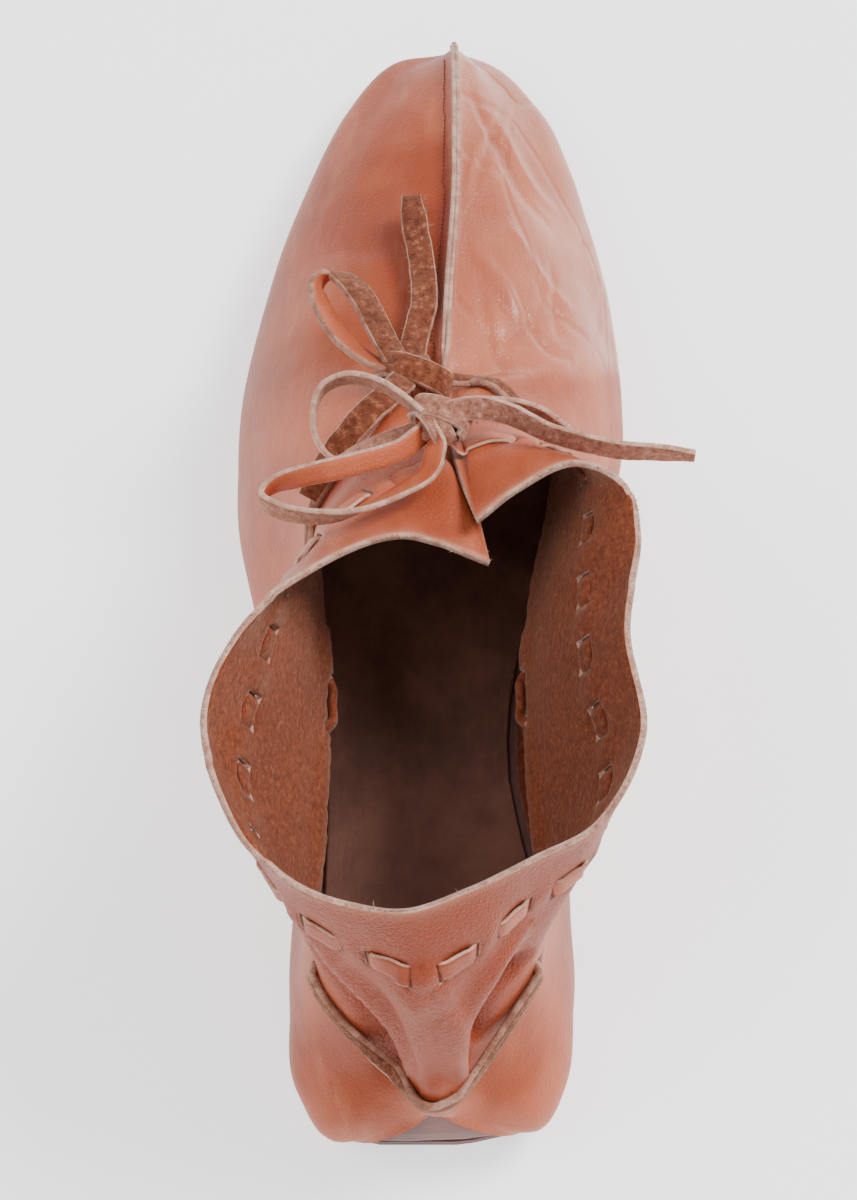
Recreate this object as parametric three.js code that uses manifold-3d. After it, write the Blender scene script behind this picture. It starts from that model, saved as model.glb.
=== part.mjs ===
// A turnshoe for the left foot, after the medieval pattern: a soft leather upper with a raised
// seam down the vamp, a flared collar whose flaps overlap at the throat, a flat leather sole
// that turns up at the heel in a small triangle, and two flat thongs that run through slits.
// One thong gathers the collar and the other the ankle, and each is tied in a bow in front.
//
// Millimetres. +Y points to the toe, +X to the inner side of the foot and +Z up. The origin is
// on the floor under the middle of the heel seat. "Along" is measured from the back of the heel.
import * as THREE from "three";
import { mergeVertices } from "three/addons/utils/BufferGeometryUtils.js";
import Module from "manifold-3d";

const wasm = await Module();
wasm.setup();

// Driving sizes.
const length = 290;
const heelWidth = 68;
const ballWidth = 98;
const collarWidth = 99;
const instepHeight = 60;
const collarHeight = 110;
const heelSeat = 38;
const wall = 1.6;
const overhang = 3;
const bulgeHeight = 13;
const clearance = 0.3;

const soleThickness = 4;
const soleWelt = 0.5;
const soleRound = 0.9;
const insoleThickness = 1.5;
const insoleRound = 0.4;
const plateTrim = 0.4;
const toeSpring = 5;
const archRise = 1.6;

const riserHeight = 26;
const riserThickness = 2.4;
const riserInset = 0.35;
const riserReachOuter = 1.3;
const riserReachInner = 1.55;
const riserTip = 0.08;
const heelSection = 18;
const notchSpare = 2.5 * clearance;
const cutThrough = 1;

const seamHeight = 3.2;
const seamWidth = 2.8;
const seamDepth = 1.2;
const seamAtSole = 0.4;
const seamTurn = 8;

const collarThongWidth = 5.5;
const collarThongThickness = 1.5;
const ankleThongWidth = 6;
const ankleThongThickness = 2;
const collarThongClearance = 1.1;
const ankleThongClearance = 1.4;
const slitClearance = 0.8;
const crossingLength = 4;
const stationSpacing = 7;

// The upper as sections, each running from the sole's edge up to the collar or the vamp seam.
// "Across" is outwards from the middle of the shoe. Shares: along of the length; across of half
// the foot's width at edge and ankle, and of half the collar's width at neck and top, or of half
// the ball's width on the vamp; bulge of the overhang; up reaches 1 at the instep and 2 at the
// collar's highest point.
const columns = [
  "name", "edgeAlong", "edgeAcross", "bulge", "ankleAlong", "ankleAcross", "ankleUp",
  "neckAlong", "neckAcross", "neckUp", "topAlong", "topAcross", "topUp",
];
const outerSide = [
  ["heel back", 0.005, -0.029, 0.7, 0.014, -0.029, 0.57, 0.078, 0, 1.54, 0.109, 0.081, 1.88],
  ["heel corner", 0.012, 0.544, 0.9, 0.034, 0.235, 0.63, 0.086, 0.222, 1.56, 0.112, 0.323, 1.9],
  ["heel round", 0.045, 0.838, 1, 0.072, 0.588, 0.77, 0.117, 0.56, 1.6, 0.129, 0.606, 1.92],
  ["heel side", 0.103, 0.906, 0.9, 0.124, 0.824, 0.92, 0.169, 0.785, 1.64, 0.166, 0.845, 1.96],
  ["shank", 0.214, 0.821, 1.2, 0.221, 0.787, 0.93, 0.248, 0.869, 1.65, 0.252, 1.01, 2.0],
  ["waist", 0.338, 0.685, 2, 0.331, 0.621, 0.95, 0.314, 0.798, 1.65, 0.321, 0.89, 1.98],
  ["back of ball", 0.455, 0.766, 2.1, 0.428, 0.602, 1.0, 0.4, 0.636, 1.65, 0.376, 0.616, 1.92],
  ["front of collar", 0.531, 0.882, 1.5, 0.493, 0.623, 0.98, 0.466, 0.323, 1.6, 0.419, 0.121, 1.83],
  ["flap corner", 0.586, 0.918, 1.1, 0.545, 0.653, 0.9, 0.503, -0.02, 1.56, 0.397, -0.283, 1.79],
  ["flap edge", 0.628, 0.918, 1.1, 0.59, 0.684, 0.81, 0.562, 0.162, 1.24, 0.503, -0.17, 1.48],
  ["flap root", 0.648, 0.91, 1.1, 0.616, 0.688, 0.767, 0.593, 0.242, 1.08, 0.572, -0.045, 1.13],
  ["throat", 0.669, 0.894, 1.1, 0.641, 0.684, 0.725, 0.621, 0.306, 0.94, 0.607, -0.071, 1.0],
  ["forepart", 0.748, 0.796, 1.1, 0.731, 0.602, 0.617, 0.717, 0.224, 0.825, 0.707, -0.106, 0.875],
  ["toe side", 0.834, 0.65, 1, 0.821, 0.48, 0.525, 0.814, 0.122, 0.683, 0.81, -0.139, 0.742],
  ["toe corner", 0.938, 0.393, 1, 0.93, 0.27, 0.4, 0.923, 0.031, 0.52, 0.92, -0.143, 0.575],
  ["toe round", 0.992, 0.149, 0.9, 0.985, 0.085, 0.3, 0.98, -0.061, 0.385, 0.976, -0.143, 0.425],
  ["toe tip", 0.998, -0.139, 0.9, 1.004, -0.139, 0.233, 1.002, -0.139, 0.285, 0.998, -0.139, 0.325],
];
const innerSide = [
  ["heel corner", 0.016, 0.588, 0.9, 0.038, 0.265, 0.63, 0.093, 0.202, 1.56, 0.126, 0.192, 1.89],
  ["heel round", 0.045, 0.882, 1, 0.076, 0.574, 0.77, 0.128, 0.434, 1.58, 0.148, 0.475, 1.92],
  ["heel side", 0.103, 0.956, 0.9, 0.124, 0.765, 0.92, 0.16, 0.71, 1.63, 0.174, 0.765, 1.95],
  ["shank", 0.214, 0.835, 1.6, 0.221, 0.773, 0.93, 0.238, 0.838, 1.66, 0.241, 0.965, 2.0],
  ["waist", 0.338, 0.543, 3, 0.331, 0.597, 0.95, 0.317, 0.758, 1.66, 0.328, 0.909, 2.0],
  ["back of ball", 0.455, 0.579, 2.9, 0.421, 0.574, 1.0, 0.403, 0.743, 1.65, 0.405, 0.966, 1.99],
  ["collar lobe", 0.531, 0.796, 1.9, 0.486, 0.634, 1.0, 0.466, 0.768, 1.62, 0.452, 0.899, 1.96],
  ["front of collar", 0.583, 0.902, 1.3, 0.528, 0.673, 0.975, 0.502, 0.657, 1.6, 0.474, 0.667, 1.92],
  ["flap front", 0.617, 0.945, 1.1, 0.562, 0.704, 0.91, 0.519, 0.394, 1.56, 0.455, 0.414, 1.88],
  ["flap corner", 0.645, 0.951, 1, 0.593, 0.724, 0.83, 0.534, 0.222, 1.48, 0.428, 0.214, 1.86],
  ["flap edge", 0.669, 0.947, 1, 0.624, 0.745, 0.77, 0.583, 0.273, 1.18, 0.514, 0.111, 1.53],
  ["flap root", 0.683, 0.941, 1, 0.641, 0.751, 0.74, 0.609, 0.343, 1.04, 0.579, 0.093, 1.19],
  ["throat", 0.697, 0.931, 1.1, 0.659, 0.755, 0.713, 0.631, 0.408, 0.925, 0.607, 0.071, 1.0],
  ["forepart", 0.762, 0.875, 1.1, 0.738, 0.694, 0.617, 0.724, 0.408, 0.825, 0.707, 0.106, 0.875],
  ["toe side", 0.841, 0.77, 1, 0.824, 0.582, 0.525, 0.817, 0.367, 0.683, 0.81, 0.139, 0.742],
  ["toe corner", 0.938, 0.567, 1, 0.93, 0.45, 0.4, 0.924, 0.29, 0.52, 0.92, 0.143, 0.575],
  ["toe round", 0.989, 0.333, 0.9, 0.984, 0.285, 0.3, 0.98, 0.224, 0.385, 0.976, 0.143, 0.425],
  ["toe tip", 0.998, 0.139, 0.9, 1.004, 0.139, 0.233, 1.002, 0.139, 0.285, 0.998, 0.139, 0.325],
];

// Small helpers.
const mix = (a, b, t) => a + (b - a) * t;
const ease = (t) => {
  const c = Math.min(1, Math.max(0, t));
  return c * c * (3 - 2 * c);
};
const vec = (x, y, z) => new THREE.Vector3(x, y, z);
const curve = (points) => new THREE.CatmullRomCurve3(points, false, "centripetal");

// Half the foot's width at a share of the length: the heel's behind the arch, the ball's ahead.
const footHalf = (along) => mix(heelWidth, ballWidth, ease((along - 0.15) / 0.35)) / 2;

// A height from its share of the instep's and the collar's heights.
const rise = (up) => (up <= 1 ? up * instepHeight : mix(instepHeight, collarHeight, up - 1));

// How far the sole's underside lifts off the floor: a slight arch, and the toe's spring.
function lift(y) {
  const along = (y + heelSeat) / length;
  const arch = Math.sin(Math.PI * Math.min(1, Math.max(0, (along - 0.22) / 0.33))) ** 2;
  const toe = Math.max(0, (along - 0.72) / 0.28) ** 2;
  return archRise * arch + toeSpring * toe;
}

// One section's five points, from the sole's edge to the top. side is 1 on the inner side.
function sectionPoints(cells, side) {
  const r = Object.fromEntries(columns.map((name, i) => [name, cells[i]]));
  const onVamp = /throat|forepart|toe/.test(r.name);
  const upperHalf = (onVamp ? ballWidth : collarWidth) / 2;
  const onSeam = onVamp && side * (clearance / 2);
  const at = (along, across, half, up) =>
    vec(side * across * half, along * length - heelSeat, up);
  const edge = at(r.edgeAlong, r.edgeAcross, footHalf(r.edgeAlong), 0);
  edge.z = soleThickness + lift(edge.y) + clearance;
  const ankle = at(r.ankleAlong, r.ankleAcross, footHalf(r.ankleAlong), rise(r.ankleUp));
  const neck = at(r.neckAlong, r.neckAcross, upperHalf, rise(r.neckUp));
  const top = at(r.topAlong, r.topAcross, upperHalf, rise(r.topUp));
  top.x += onSeam || 0;
  if (r.name === "toe tip") for (const p of [edge, ankle, neck]) p.x += onSeam;
  return { name: r.name, edge, bulge: r.bulge * overhang, ankle, neck, top };
}

// The whole strip of sections: toe, outer side, heel, inner side, toe.
const sections = [
  ...outerSide.map((cells) => sectionPoints(cells, -1)).reverse(),
  ...innerSide.map((cells) => sectionPoints(cells, 1)),
];
const heelAt = outerSide.length - 1;
const lastAt = sections.length - 1;
const indexOf = (name, from) => sections.findIndex((s, i) => i >= from && s.name === name);
const stops = {
  outerThroat: indexOf("throat", 0),
  outerCorner: indexOf("flap corner", 0),
  innerCorner: indexOf("flap corner", heelAt),
  innerThroat: indexOf("throat", heelAt),
};

// A level line through the sections, in pieces that meet with a corner at each break.
function levelLine(points, breaks) {
  const ends = [0, ...breaks, points.length - 1];
  const pieces = ends.slice(1).map((end, i) => ({
    from: ends[i],
    to: end,
    line: curve(points.slice(ends[i], end + 1)),
  }));
  return (u) => {
    const piece = pieces.find((p) => u <= p.to) || pieces[pieces.length - 1];
    return piece.line.getPoint((u - piece.from) / (piece.to - piece.from));
  };
}

const edgeLine = levelLine(sections.map((s) => s.edge), []);
const ankleLine = levelLine(sections.map((s) => s.ankle), []);
const neckLine = levelLine(sections.map((s) => s.neck), []);
const topLine = levelLine(sections.map((s) => s.top), Object.values(stops));

// The sole's edge at u, moved outwards by an amount.
function edgeOut(u, out) {
  const step = 0.02;
  const p = edgeLine(u);
  const along = edgeLine(Math.min(lastAt, u + step)).sub(edgeLine(Math.max(0, u - step)));
  const atToe = u < step || u > lastAt - step;
  const outwards = atToe ? vec(0, 1, 0) : vec(along.y, -along.x, 0);
  return p.addScaledVector(outwards.normalize(), out);
}

// The upper's outer surface: u counts the sections, v the levels from edge (0) to top (4).
function surface(u, v) {
  const i = Math.min(lastAt - 1, Math.floor(u));
  const bulge = mix(sections[i].bulge, sections[i + 1].bulge, u - i);
  const edge = edgeLine(u);
  const ankle = ankleLine(u);
  const side = edgeOut(u, bulge);
  side.z = edge.z + Math.min(bulgeHeight, 0.45 * (ankle.z - edge.z));
  return curve([edge, side, ankle, neckLine(u), topLine(u)]).getPoint(v / 4);
}

// The outward normal. It is taken a little off the vamp's seam, and beside the seam it turns
// into the seam's own plane, so that both sides agree there.
function normal(u, v) {
  const step = 0.03;
  const onVamp = u < stops.outerThroat || u > stops.innerThroat;
  const nu = Math.min(lastAt - 0.3, Math.max(0.3, u));
  const nv = Math.min(onVamp ? 3.7 : 4 - step, Math.max(step, v));
  const du = surface(nu + step, nv).sub(surface(nu - step, nv));
  const dv = surface(nu, nv + step).sub(surface(nu, nv - step));
  const n = du.cross(dv).normalize();
  const fromSeam = Math.abs(surface(u, v).x - topLine(u).x);
  if (onVamp) n.x *= Math.min(1, fromSeam / seamTurn);
  return n.normalize();
}

const offsetPoint = (u, v, out) => surface(u, v).addScaledVector(normal(u, v), out);

// Solids.
function toSolid(geometry) {
  const bare = geometry.index ? geometry.toNonIndexed() : geometry.clone();
  bare.deleteAttribute("normal");
  bare.deleteAttribute("uv");
  const merged = mergeVertices(bare, 1e-4);
  const made = new wasm.Manifold(
    new wasm.Mesh({
      numProp: 3,
      vertProperties: merged.attributes.position.array,
      triVerts: new Uint32Array(merged.index.array),
    }),
  );
  if (made.volume() > 0) return made;
  const turned = merged.index.array.slice().reverse();
  return new wasm.Manifold(
    new wasm.Mesh({
      numProp: 3,
      vertProperties: merged.attributes.position.array,
      triVerts: new Uint32Array(turned),
    }),
  );
}

function toGeometry(solid) {
  const mesh = solid.getMesh();
  return new THREE.BufferGeometry()
    .setAttribute("position", new THREE.BufferAttribute(new Float32Array(mesh.vertProperties), 3))
    .setIndex(new THREE.BufferAttribute(new Uint32Array(mesh.triVerts), 1));
}

// Closed rings of points joined in order, with a flat cap on the first and the last.
function loft(rings) {
  const n = rings[0].length;
  const positions = rings.flat().flatMap((p) => [p.x, p.y, p.z]);
  const index = [];
  for (let i = 0; i + 1 < rings.length; i++)
    for (let j = 0; j < n; j++) {
      const [a, b] = [i * n + j, i * n + ((j + 1) % n)];
      index.push(a, b, b + n, a, b + n, a + n);
    }
  const last = (rings.length - 1) * n;
  for (let j = 1; j + 1 < n; j++) {
    index.push(0, j + 1, j);
    index.push(last, last + j, last + j + 1);
  }
  return toSolid(
    new THREE.BufferGeometry()
      .setAttribute("position", new THREE.Float32BufferAttribute(positions, 3))
      .setIndex(index),
  );
}

// A sheet of leather over a grid of (u, v), between two depths from the surface.
function sheet(us, vs, outer, inner) {
  return loft(
    us.map((u) => [
      ...vs.map((v) => offsetPoint(u, v, outer)),
      ...vs.map((v) => offsetPoint(u, v, inner)).reverse(),
    ]),
  );
}

// A flat strip along points, each with the direction that the strip's width takes there.
function strip(points, widthways, width, thickness) {
  return loft(
    points.map((p, i) => {
      const w = Array.isArray(width) ? width[i] : width;
      const corners = [[w, thickness], [-w, thickness], [-w, -thickness], [w, -thickness]];
      const before = points[Math.max(0, i - 1)];
      const after = points[Math.min(points.length - 1, i + 1)];
      const along = after.clone().sub(before).normalize();
      const across = widthways[i].clone().addScaledVector(along, -along.dot(widthways[i]));
      across.normalize();
      const through = along.clone().cross(across);
      return corners.map(([a, b]) =>
        p.clone().addScaledVector(across, a / 2).addScaledVector(through, b / 2),
      );
    }),
  );
}

// A plate that follows the sections' edge, moved out or in, between two heights of its own.
function plate(out, low, high, round) {
  const perSection = 16;
  const stations = 40;
  const border = (end) =>
    Array.from({ length: perSection * Math.abs(end - heelAt) + 1 }, (_, k) =>
      edgeOut(heelAt + (Math.sign(end - heelAt) * k) / perSection, out),
    );
  const acrossAt = (line, y) => {
    const k = Math.max(1, line.findIndex((p) => p.y >= y));
    const [a, b] = [line[k - 1], line[k]];
    return mix(a.x, b.x, Math.min(1, Math.max(0, (y - a.y) / (b.y - a.y || 1))));
  };
  const [outerBorder, innerBorder] = [border(0), border(lastAt)];
  const start = Math.min(outerBorder[0].y, innerBorder[0].y) + plateTrim;
  const end = Math.min(outerBorder.at(-1).y, innerBorder.at(-1).y) - plateTrim;
  const rings = [];
  for (let k = 0; k <= stations; k++) {
    const share = (1 - Math.cos((Math.PI * k) / stations)) / 2;
    const y = mix(start, end, share);
    const [x0, x1] = [acrossAt(outerBorder, y), acrossAt(innerBorder, y)];
    const [z0, z1] = [low + lift(y), high + lift(y)];
    rings.push([
      vec(x0 + round, y, z0), vec(x1 - round, y, z0), vec(x1, y, z0 + round), vec(x1, y, z1 - round),
      vec(x1 - round, y, z1), vec(x0 + round, y, z1), vec(x0, y, z1 - round), vec(x0, y, z0 + round),
    ]);
  }
  return loft(rings);
}

// The level v at which the surface over section u reaches a height.
function levelAt(u, height) {
  let [low, high] = [0, 4];
  for (let k = 0; k < 24; k++) {
    const middle = (low + high) / 2;
    if (surface(u, middle).z < height) low = middle;
    else high = middle;
  }
  return low;
}

// The triangle that the sole turns up at the back of the heel, between two depths from the
// upper's outer surface. spare widens it, for the notch that it stands in.
function riser(outer, inner, spare) {
  const steps = 6;
  const tip = levelAt(heelAt, soleThickness + riserHeight + 1.5 * spare);
  const rings = [];
  for (let k = -1; k <= steps; k++) {
    const share = Math.max(0, k / steps);
    const reach = (full) => full * mix(1, riserTip, share) + spare / heelSection;
    const us = [-1, -0.66, -0.33, 0, 0.33, 0.66, 1].map(
      (t) => heelAt + t * reach(t < 0 ? riserReachOuter : riserReachInner),
    );
    const sink = k < 0 ? soleThickness / 2 + clearance : 0;
    const row = (out) => us.map((u) => offsetPoint(u, tip * share, out).add(vec(0, 0, -sink)));
    rings.push([...row(outer), ...row(inner).reverse()]);
  }
  return loft(rings);
}

// A thong's route over the leather through stops of section u and level v, by length.
function route(stopsAlong) {
  const line = curve(stopsAlong.map(([u, v]) => vec(u, 4 * v, 0)));
  const fine = line.getPoints(stopsAlong.length * 40).map((p) => [p.x, p.y / 4]);
  const places = fine.map(([u, v]) => surface(u, v));
  const lengths = [0];
  for (let i = 1; i < places.length; i++)
    lengths.push(lengths[i - 1] + places[i].distanceTo(places[i - 1]));
  const at = (d) => {
    const i = Math.max(1, lengths.findIndex((l) => l >= d));
    const t = (d - lengths[i - 1]) / (lengths[i] - lengths[i - 1] || 1);
    return [mix(fine[i - 1][0], fine[i][0], t), mix(fine[i - 1][1], fine[i][1], t)];
  };
  const lengthAt = (u) => lengths[fine.findIndex((p) => p[0] >= u)];
  return { at, lengthAt, total: lengths.at(-1) };
}

// A thong woven through the upper, outside first. marks are the lengths at which it passes
// through a slit, and clear is the room between it and the leather on either side. Returns the
// thong, and what its slits cut from the upper.
function weave(path, marks, width, thickness, clear) {
  const first = clear + thickness / 2;
  const second = -(wall + clear + thickness / 2);
  const stations = [];
  let from = 0;
  [...marks, path.total + crossingLength / 2].forEach((mark, k) => {
    const [here, next] = k % 2 ? [second, first] : [first, second];
    const to = mark - crossingLength / 2;
    const count = Math.max(1, Math.round((to - from) / stationSpacing));
    for (let i = 0; i <= count; i++) stations.push([mix(from, to, i / count), here]);
    if (k < marks.length) stations.push([mark, (here + next) / 2]);
    from = mark + crossingLength / 2;
  });
  const pointAt = ([d, depth]) => offsetPoint(...path.at(d), depth);
  const upAt = ([d]) => {
    const [u, v] = path.at(d);
    const top = Math.min(4, v + 0.05);
    return surface(u, top).sub(surface(u, top - 0.1)).normalize();
  };
  const cut = marks.map((mark, k) => {
    const [here, next] = k % 2 ? [second, first] : [first, second];
    const span = [-0.55, 0, 0.55].map((t) => [mark + t * crossingLength, mix(here, next, t + 0.5)]);
    const spare = 2 * slitClearance;
    return strip(span.map(pointAt), span.map(upAt), width + spare, thickness + spare);
  });
  return { thong: strip(stations.map(pointAt), stations.map(upAt), width, thickness), cut };
}

// A free thong through rows of x, y, z and lean: at lean 0 it lies flat, at 90 it is on edge.
function ribbon(rows, width, thickness) {
  const line = curve(rows.map(([x, y, z]) => vec(x, y, z)));
  const leans = curve(rows.map((row) => vec(row[3], 0, 0)));
  const count = 3 * (rows.length - 1);
  const points = line.getPoints(count);
  const widthways = points.map((p, i) => {
    const after = line.getPoint(Math.min(1, (i + 0.5) / count));
    const before = line.getPoint(Math.max(0, (i - 0.5) / count));
    const along = after.sub(before);
    const left = vec(-along.y, along.x, 0).normalize();
    const lean = THREE.MathUtils.degToRad(leans.getPoint(i / count).x);
    return left.multiplyScalar(Math.cos(lean)).add(vec(0, 0, Math.sin(lean)));
  });
  return strip(points, widthways, width, thickness);
}

// A knot as a rounded lump of the given half sizes, turned about the vertical by degrees.
function knot(centre, halves, turn) {
  const lump = new THREE.SphereGeometry(1, 12, 8).scale(...halves);
  lump.rotateZ(THREE.MathUtils.degToRad(turn)).translate(...centre);
  return toSolid(lump);
}

// The upper: one sheet from the toe round the heel and back to the toe, joined along the vamp by
// its raised seam. The notch of the riser and the slits of the thongs are cut out of it.
function makeUpper(cuts) {
  const columnsPerSection = 3;
  const rows = 10;
  const vs = Array.from({ length: rows + 1 }, (_, k) => (4 * k) / rows);
  const steps = (from, to) =>
    Array.from({ length: columnsPerSection * (to - from) + 1 }, (_, k) => from + k / columnsPerSection);
  const shell = sheet(steps(0, lastAt), vs, 0, -wall);
  const seamUs = steps(stops.innerThroat, lastAt).map((u) => [u, 4]);
  const toeVs = [3.4, 2.7, 2.05, 1.4, 0.75, 0.25].map((v) => [lastAt, v]);
  const alongSeam = [...seamUs, ...toeVs];
  const heights = alongSeam.map(([, v]) => seamHeight * mix(seamAtSole, 1, v / 4));
  const middles = alongSeam.map(([u, v], i) => {
    const p = offsetPoint(u, v, (heights[i] - seamDepth) / 2);
    return p.add(vec(-clearance / 2, 0, 0));
  });
  const upright = alongSeam.map(([u, v]) => normal(u, v));
  const widths = heights.map((height) => height + seamDepth);
  let solid = shell.add(strip(middles, upright, widths, seamWidth));
  for (const cut of cuts) solid = solid.subtract(cut);
  return solid;
}

// Assembly.
const group = new THREE.Group();
group.name = "turnshoe";

const leather = { color: 0xb87660, roughness: 0.6, metalness: 0 };
const soleLeather = { color: 0x785550, roughness: 0.7, metalness: 0 };
const insoleLeather = { color: 0x2d1912, roughness: 0.7, metalness: 0 };
const suede = { color: 0x824b37, roughness: 0.9, metalness: 0 };

function addMesh(name, solid, finish) {
  const mesh = new THREE.Mesh(toGeometry(solid), new THREE.MeshStandardMaterial(finish));
  mesh.name = name;
  group.add(mesh);
}

// The collar's thong follows the neck line, and the ankle's thong the ankle line.
const collarRoute = route([
  [8.15, 3.1], [8.6, 3.02], [9, 3], [10, 3], [12, 3], [14, 3], [16, 3], [18, 3], [20, 3], [22, 3],
  [24, 3], [25, 3.02], [25.6, 3.15], [26.2, 3.4],
]);
const [firstSlit, lastSlit, slitCount] = [8.6, 24.95, 28];
const collarMarks = Array.from({ length: slitCount }, (_, k) =>
  mix(collarRoute.lengthAt(firstSlit), collarRoute.lengthAt(lastSlit), k / (slitCount - 1)),
);
const collarThong = weave(
  collarRoute, collarMarks, collarThongWidth, collarThongThickness, collarThongClearance,
);

const ankleRoute = route([
  [6, 3.4], [7, 3], [8, 2.6], [9, 2.2], [10, 2], [12, 2], [14, 2], [16, 2], [18, 2],
  [20, 2], [22, 2], [24, 2.05], [25, 2.3], [26, 2.7], [27, 3.1], [28, 3.45],
]);
const ankleSlits = [10.82, 11.22, 12.68, 13.2, 18.8, 19.32, 20.81, 21.23];
const ankleMarks = ankleSlits.map((u) => ankleRoute.lengthAt(u));
const ankleThong = weave(
  ankleRoute, ankleMarks, ankleThongWidth, ankleThongThickness, ankleThongClearance,
);

const notch = riser(clearance + cutThrough, -2 * riserThickness, notchSpare);
addMesh("upper", makeUpper([notch, ...collarThong.cut, ...ankleThong.cut]), leather);

const turnedUp = riser(-riserInset, -riserInset - riserThickness, 0);
addMesh("sole", plate(soleWelt, 0, soleThickness, soleRound).add(turnedUp), soleLeather);

const insoleInset = riserInset + riserThickness + 2 * clearance;
const insoleLow = soleThickness + clearance;
const insole = plate(-insoleInset, insoleLow, insoleLow + insoleThickness, insoleRound);
addMesh("insole", insole, insoleLeather);

// The knots, as centre, half sizes and turn. What runs into a knot is cut a clearance off it.
const knots = {
  collar: [[2, 112.5, 95.5], [7, 4.6, 4], 30],
  ankle: [[-3.5, 136, 68], [7, 4.4, 4], -10],
};
const around = ([centre, halves, turn]) =>
  knot(centre, halves.map((half) => half + 2 * clearance), turn);

addMesh("collar_thong", collarThong.thong.subtract(around(knots.collar)), leather);
addMesh("ankle_thong", ankleThong.thong.subtract(around(knots.ankle)), suede);
addMesh("collar_bow_knot", knot(...knots.collar), leather);
addMesh("ankle_bow_knot", knot(...knots.ankle), suede);

// The free parts of the bows, through x, y, z and lean.
const bows = {
  collar_bow_loop_large: [
    [-1.5, 110, 96, 115], [-6.6, 105.5, 97, 115], [-18, 101.4, 98, 115], [-29.6, 99, 97, 110],
    [-36, 97.5, 95, 100], [-38.4, 95, 94.5, 90], [-35, 91.5, 95.5, 75], [-24.8, 88.3, 99, 80],
    [-14.4, 88.8, 103.2, 115], [-6.5, 93.5, 101.5, 135], [-0.1, 99, 99, 145], [2.2, 106, 96.5, 150],
  ],
  collar_bow_loop_small: [
    [-1.5, 114.1, 98, 90], [-6.6, 118.4, 98.5, 90], [-12.4, 122.4, 97.5, 90],
    [-19.4, 124.1, 96, 90], [-24.8, 122.2, 93.5, 90], [-26.9, 117, 91, 90],
    [-25.7, 110.4, 89.5, 95], [-21.7, 106.8, 88.5, 115], [-15.9, 108.4, 89, 150],
    [-9, 110.5, 90.5, 170], [-2.5, 112, 93, 180],
  ],
  collar_bow_end_long: [
    [4, 113.5, 99, 10], [12, 115, 99.5, 25], [18.8, 113.7, 99, 35], [26.9, 109.7, 98.5, 45],
    [34.9, 106.9, 99, 48], [44, 104.6, 99.5, 52], [53.2, 103.8, 100, 58], [61.2, 102.9, 100, 66],
  ],
  collar_bow_end_short: [
    [5, 115.5, 94, 20], [10, 117.5, 93.5, 25], [16.6, 118.5, 93, 30], [23.6, 117.8, 92, 30],
    [29.4, 114.8, 91, 25], [32.5, 112.8, 90.5, 20],
  ],
  ankle_bow_loop_up: [
    [-6, 137, 68.5, 60], [-14.1, 140.5, 69, 65], [-20.2, 146, 68, 65], [-24.4, 153, 66, 65],
    [-26.9, 160.2, 63, 70], [-27, 165, 61, 80], [-24.1, 167.3, 60.5, 100], [-20.4, 165.3, 62, 130],
    [-15.7, 158, 65.5, 140], [-12.2, 149.6, 68, 140], [-9, 142.5, 69.5, 140], [-6, 137, 70, 140],
  ],
  ankle_bow_end_up: [
    [-3, 137, 67, 0], [-4, 143, 63, 0], [-3, 151.5, 60, 0], [-1.1, 161.2, 57.5, -5],
    [-1.6, 172.6, 54.5, -5], [-3.4, 184.6, 52.5, 0], [-4.4, 193.4, 51, 5],
  ],
  ankle_bow_loop_down: [
    [-6, 133, 74.3, 0], [-9, 128.5, 77.3, 0], [-13.4, 123.8, 78.5, 0], [-19.1, 116.8, 78.5, 0],
    [-25.1, 107.2, 78.8, 0], [-28.4, 101.5, 77.3, 0],
  ],
};
for (const [name, rows] of Object.entries(bows)) {
  const onAnkle = name.startsWith("ankle");
  const width = onAnkle ? ankleThongWidth : collarThongWidth;
  const thickness = onAnkle ? ankleThongThickness : collarThongThickness;
  const tied = around(onAnkle ? knots.ankle : knots.collar);
  addMesh(name, ribbon(rows, width, thickness).subtract(tied), onAnkle ? suede : leather);
}

export default group;
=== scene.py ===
"""A turnshoe for the left foot: soft leather, a raised vamp seam, a flared collar and two bows.

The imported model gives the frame. Each class builds one sub-assembly of the shoe over it, in
metres, and dresses it. Sections, routes and sizes repeat the shoe's own pattern.
"""

import logging
import math
import random
from collections.abc import Sequence
from dataclasses import dataclass
from enum import Enum

import bmesh
import bpy
import numpy as np
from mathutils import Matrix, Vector, noise


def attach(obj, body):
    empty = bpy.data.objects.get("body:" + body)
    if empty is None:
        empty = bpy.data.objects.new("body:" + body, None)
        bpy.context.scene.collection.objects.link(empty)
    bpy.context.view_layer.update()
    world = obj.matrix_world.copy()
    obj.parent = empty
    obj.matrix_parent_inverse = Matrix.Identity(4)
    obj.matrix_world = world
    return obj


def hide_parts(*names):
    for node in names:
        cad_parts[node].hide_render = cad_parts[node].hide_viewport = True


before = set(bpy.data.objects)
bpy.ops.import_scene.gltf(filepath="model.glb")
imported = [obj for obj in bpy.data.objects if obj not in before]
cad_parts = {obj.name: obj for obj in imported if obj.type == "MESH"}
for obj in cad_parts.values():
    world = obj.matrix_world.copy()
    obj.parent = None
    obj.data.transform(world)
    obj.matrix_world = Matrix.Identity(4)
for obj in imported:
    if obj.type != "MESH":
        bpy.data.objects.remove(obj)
log = logging.getLogger("turnshoe")

MM = 0.001
SEAM_TURN = 8 * MM
Array = np.ndarray


class Side(Enum):
    """A side of the foot, by the sign of X."""

    OUTER = -1
    INNER = 1


class Face(Enum):
    """A face of the leather."""

    GRAIN = "grain"
    SUEDE = "suede"


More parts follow.
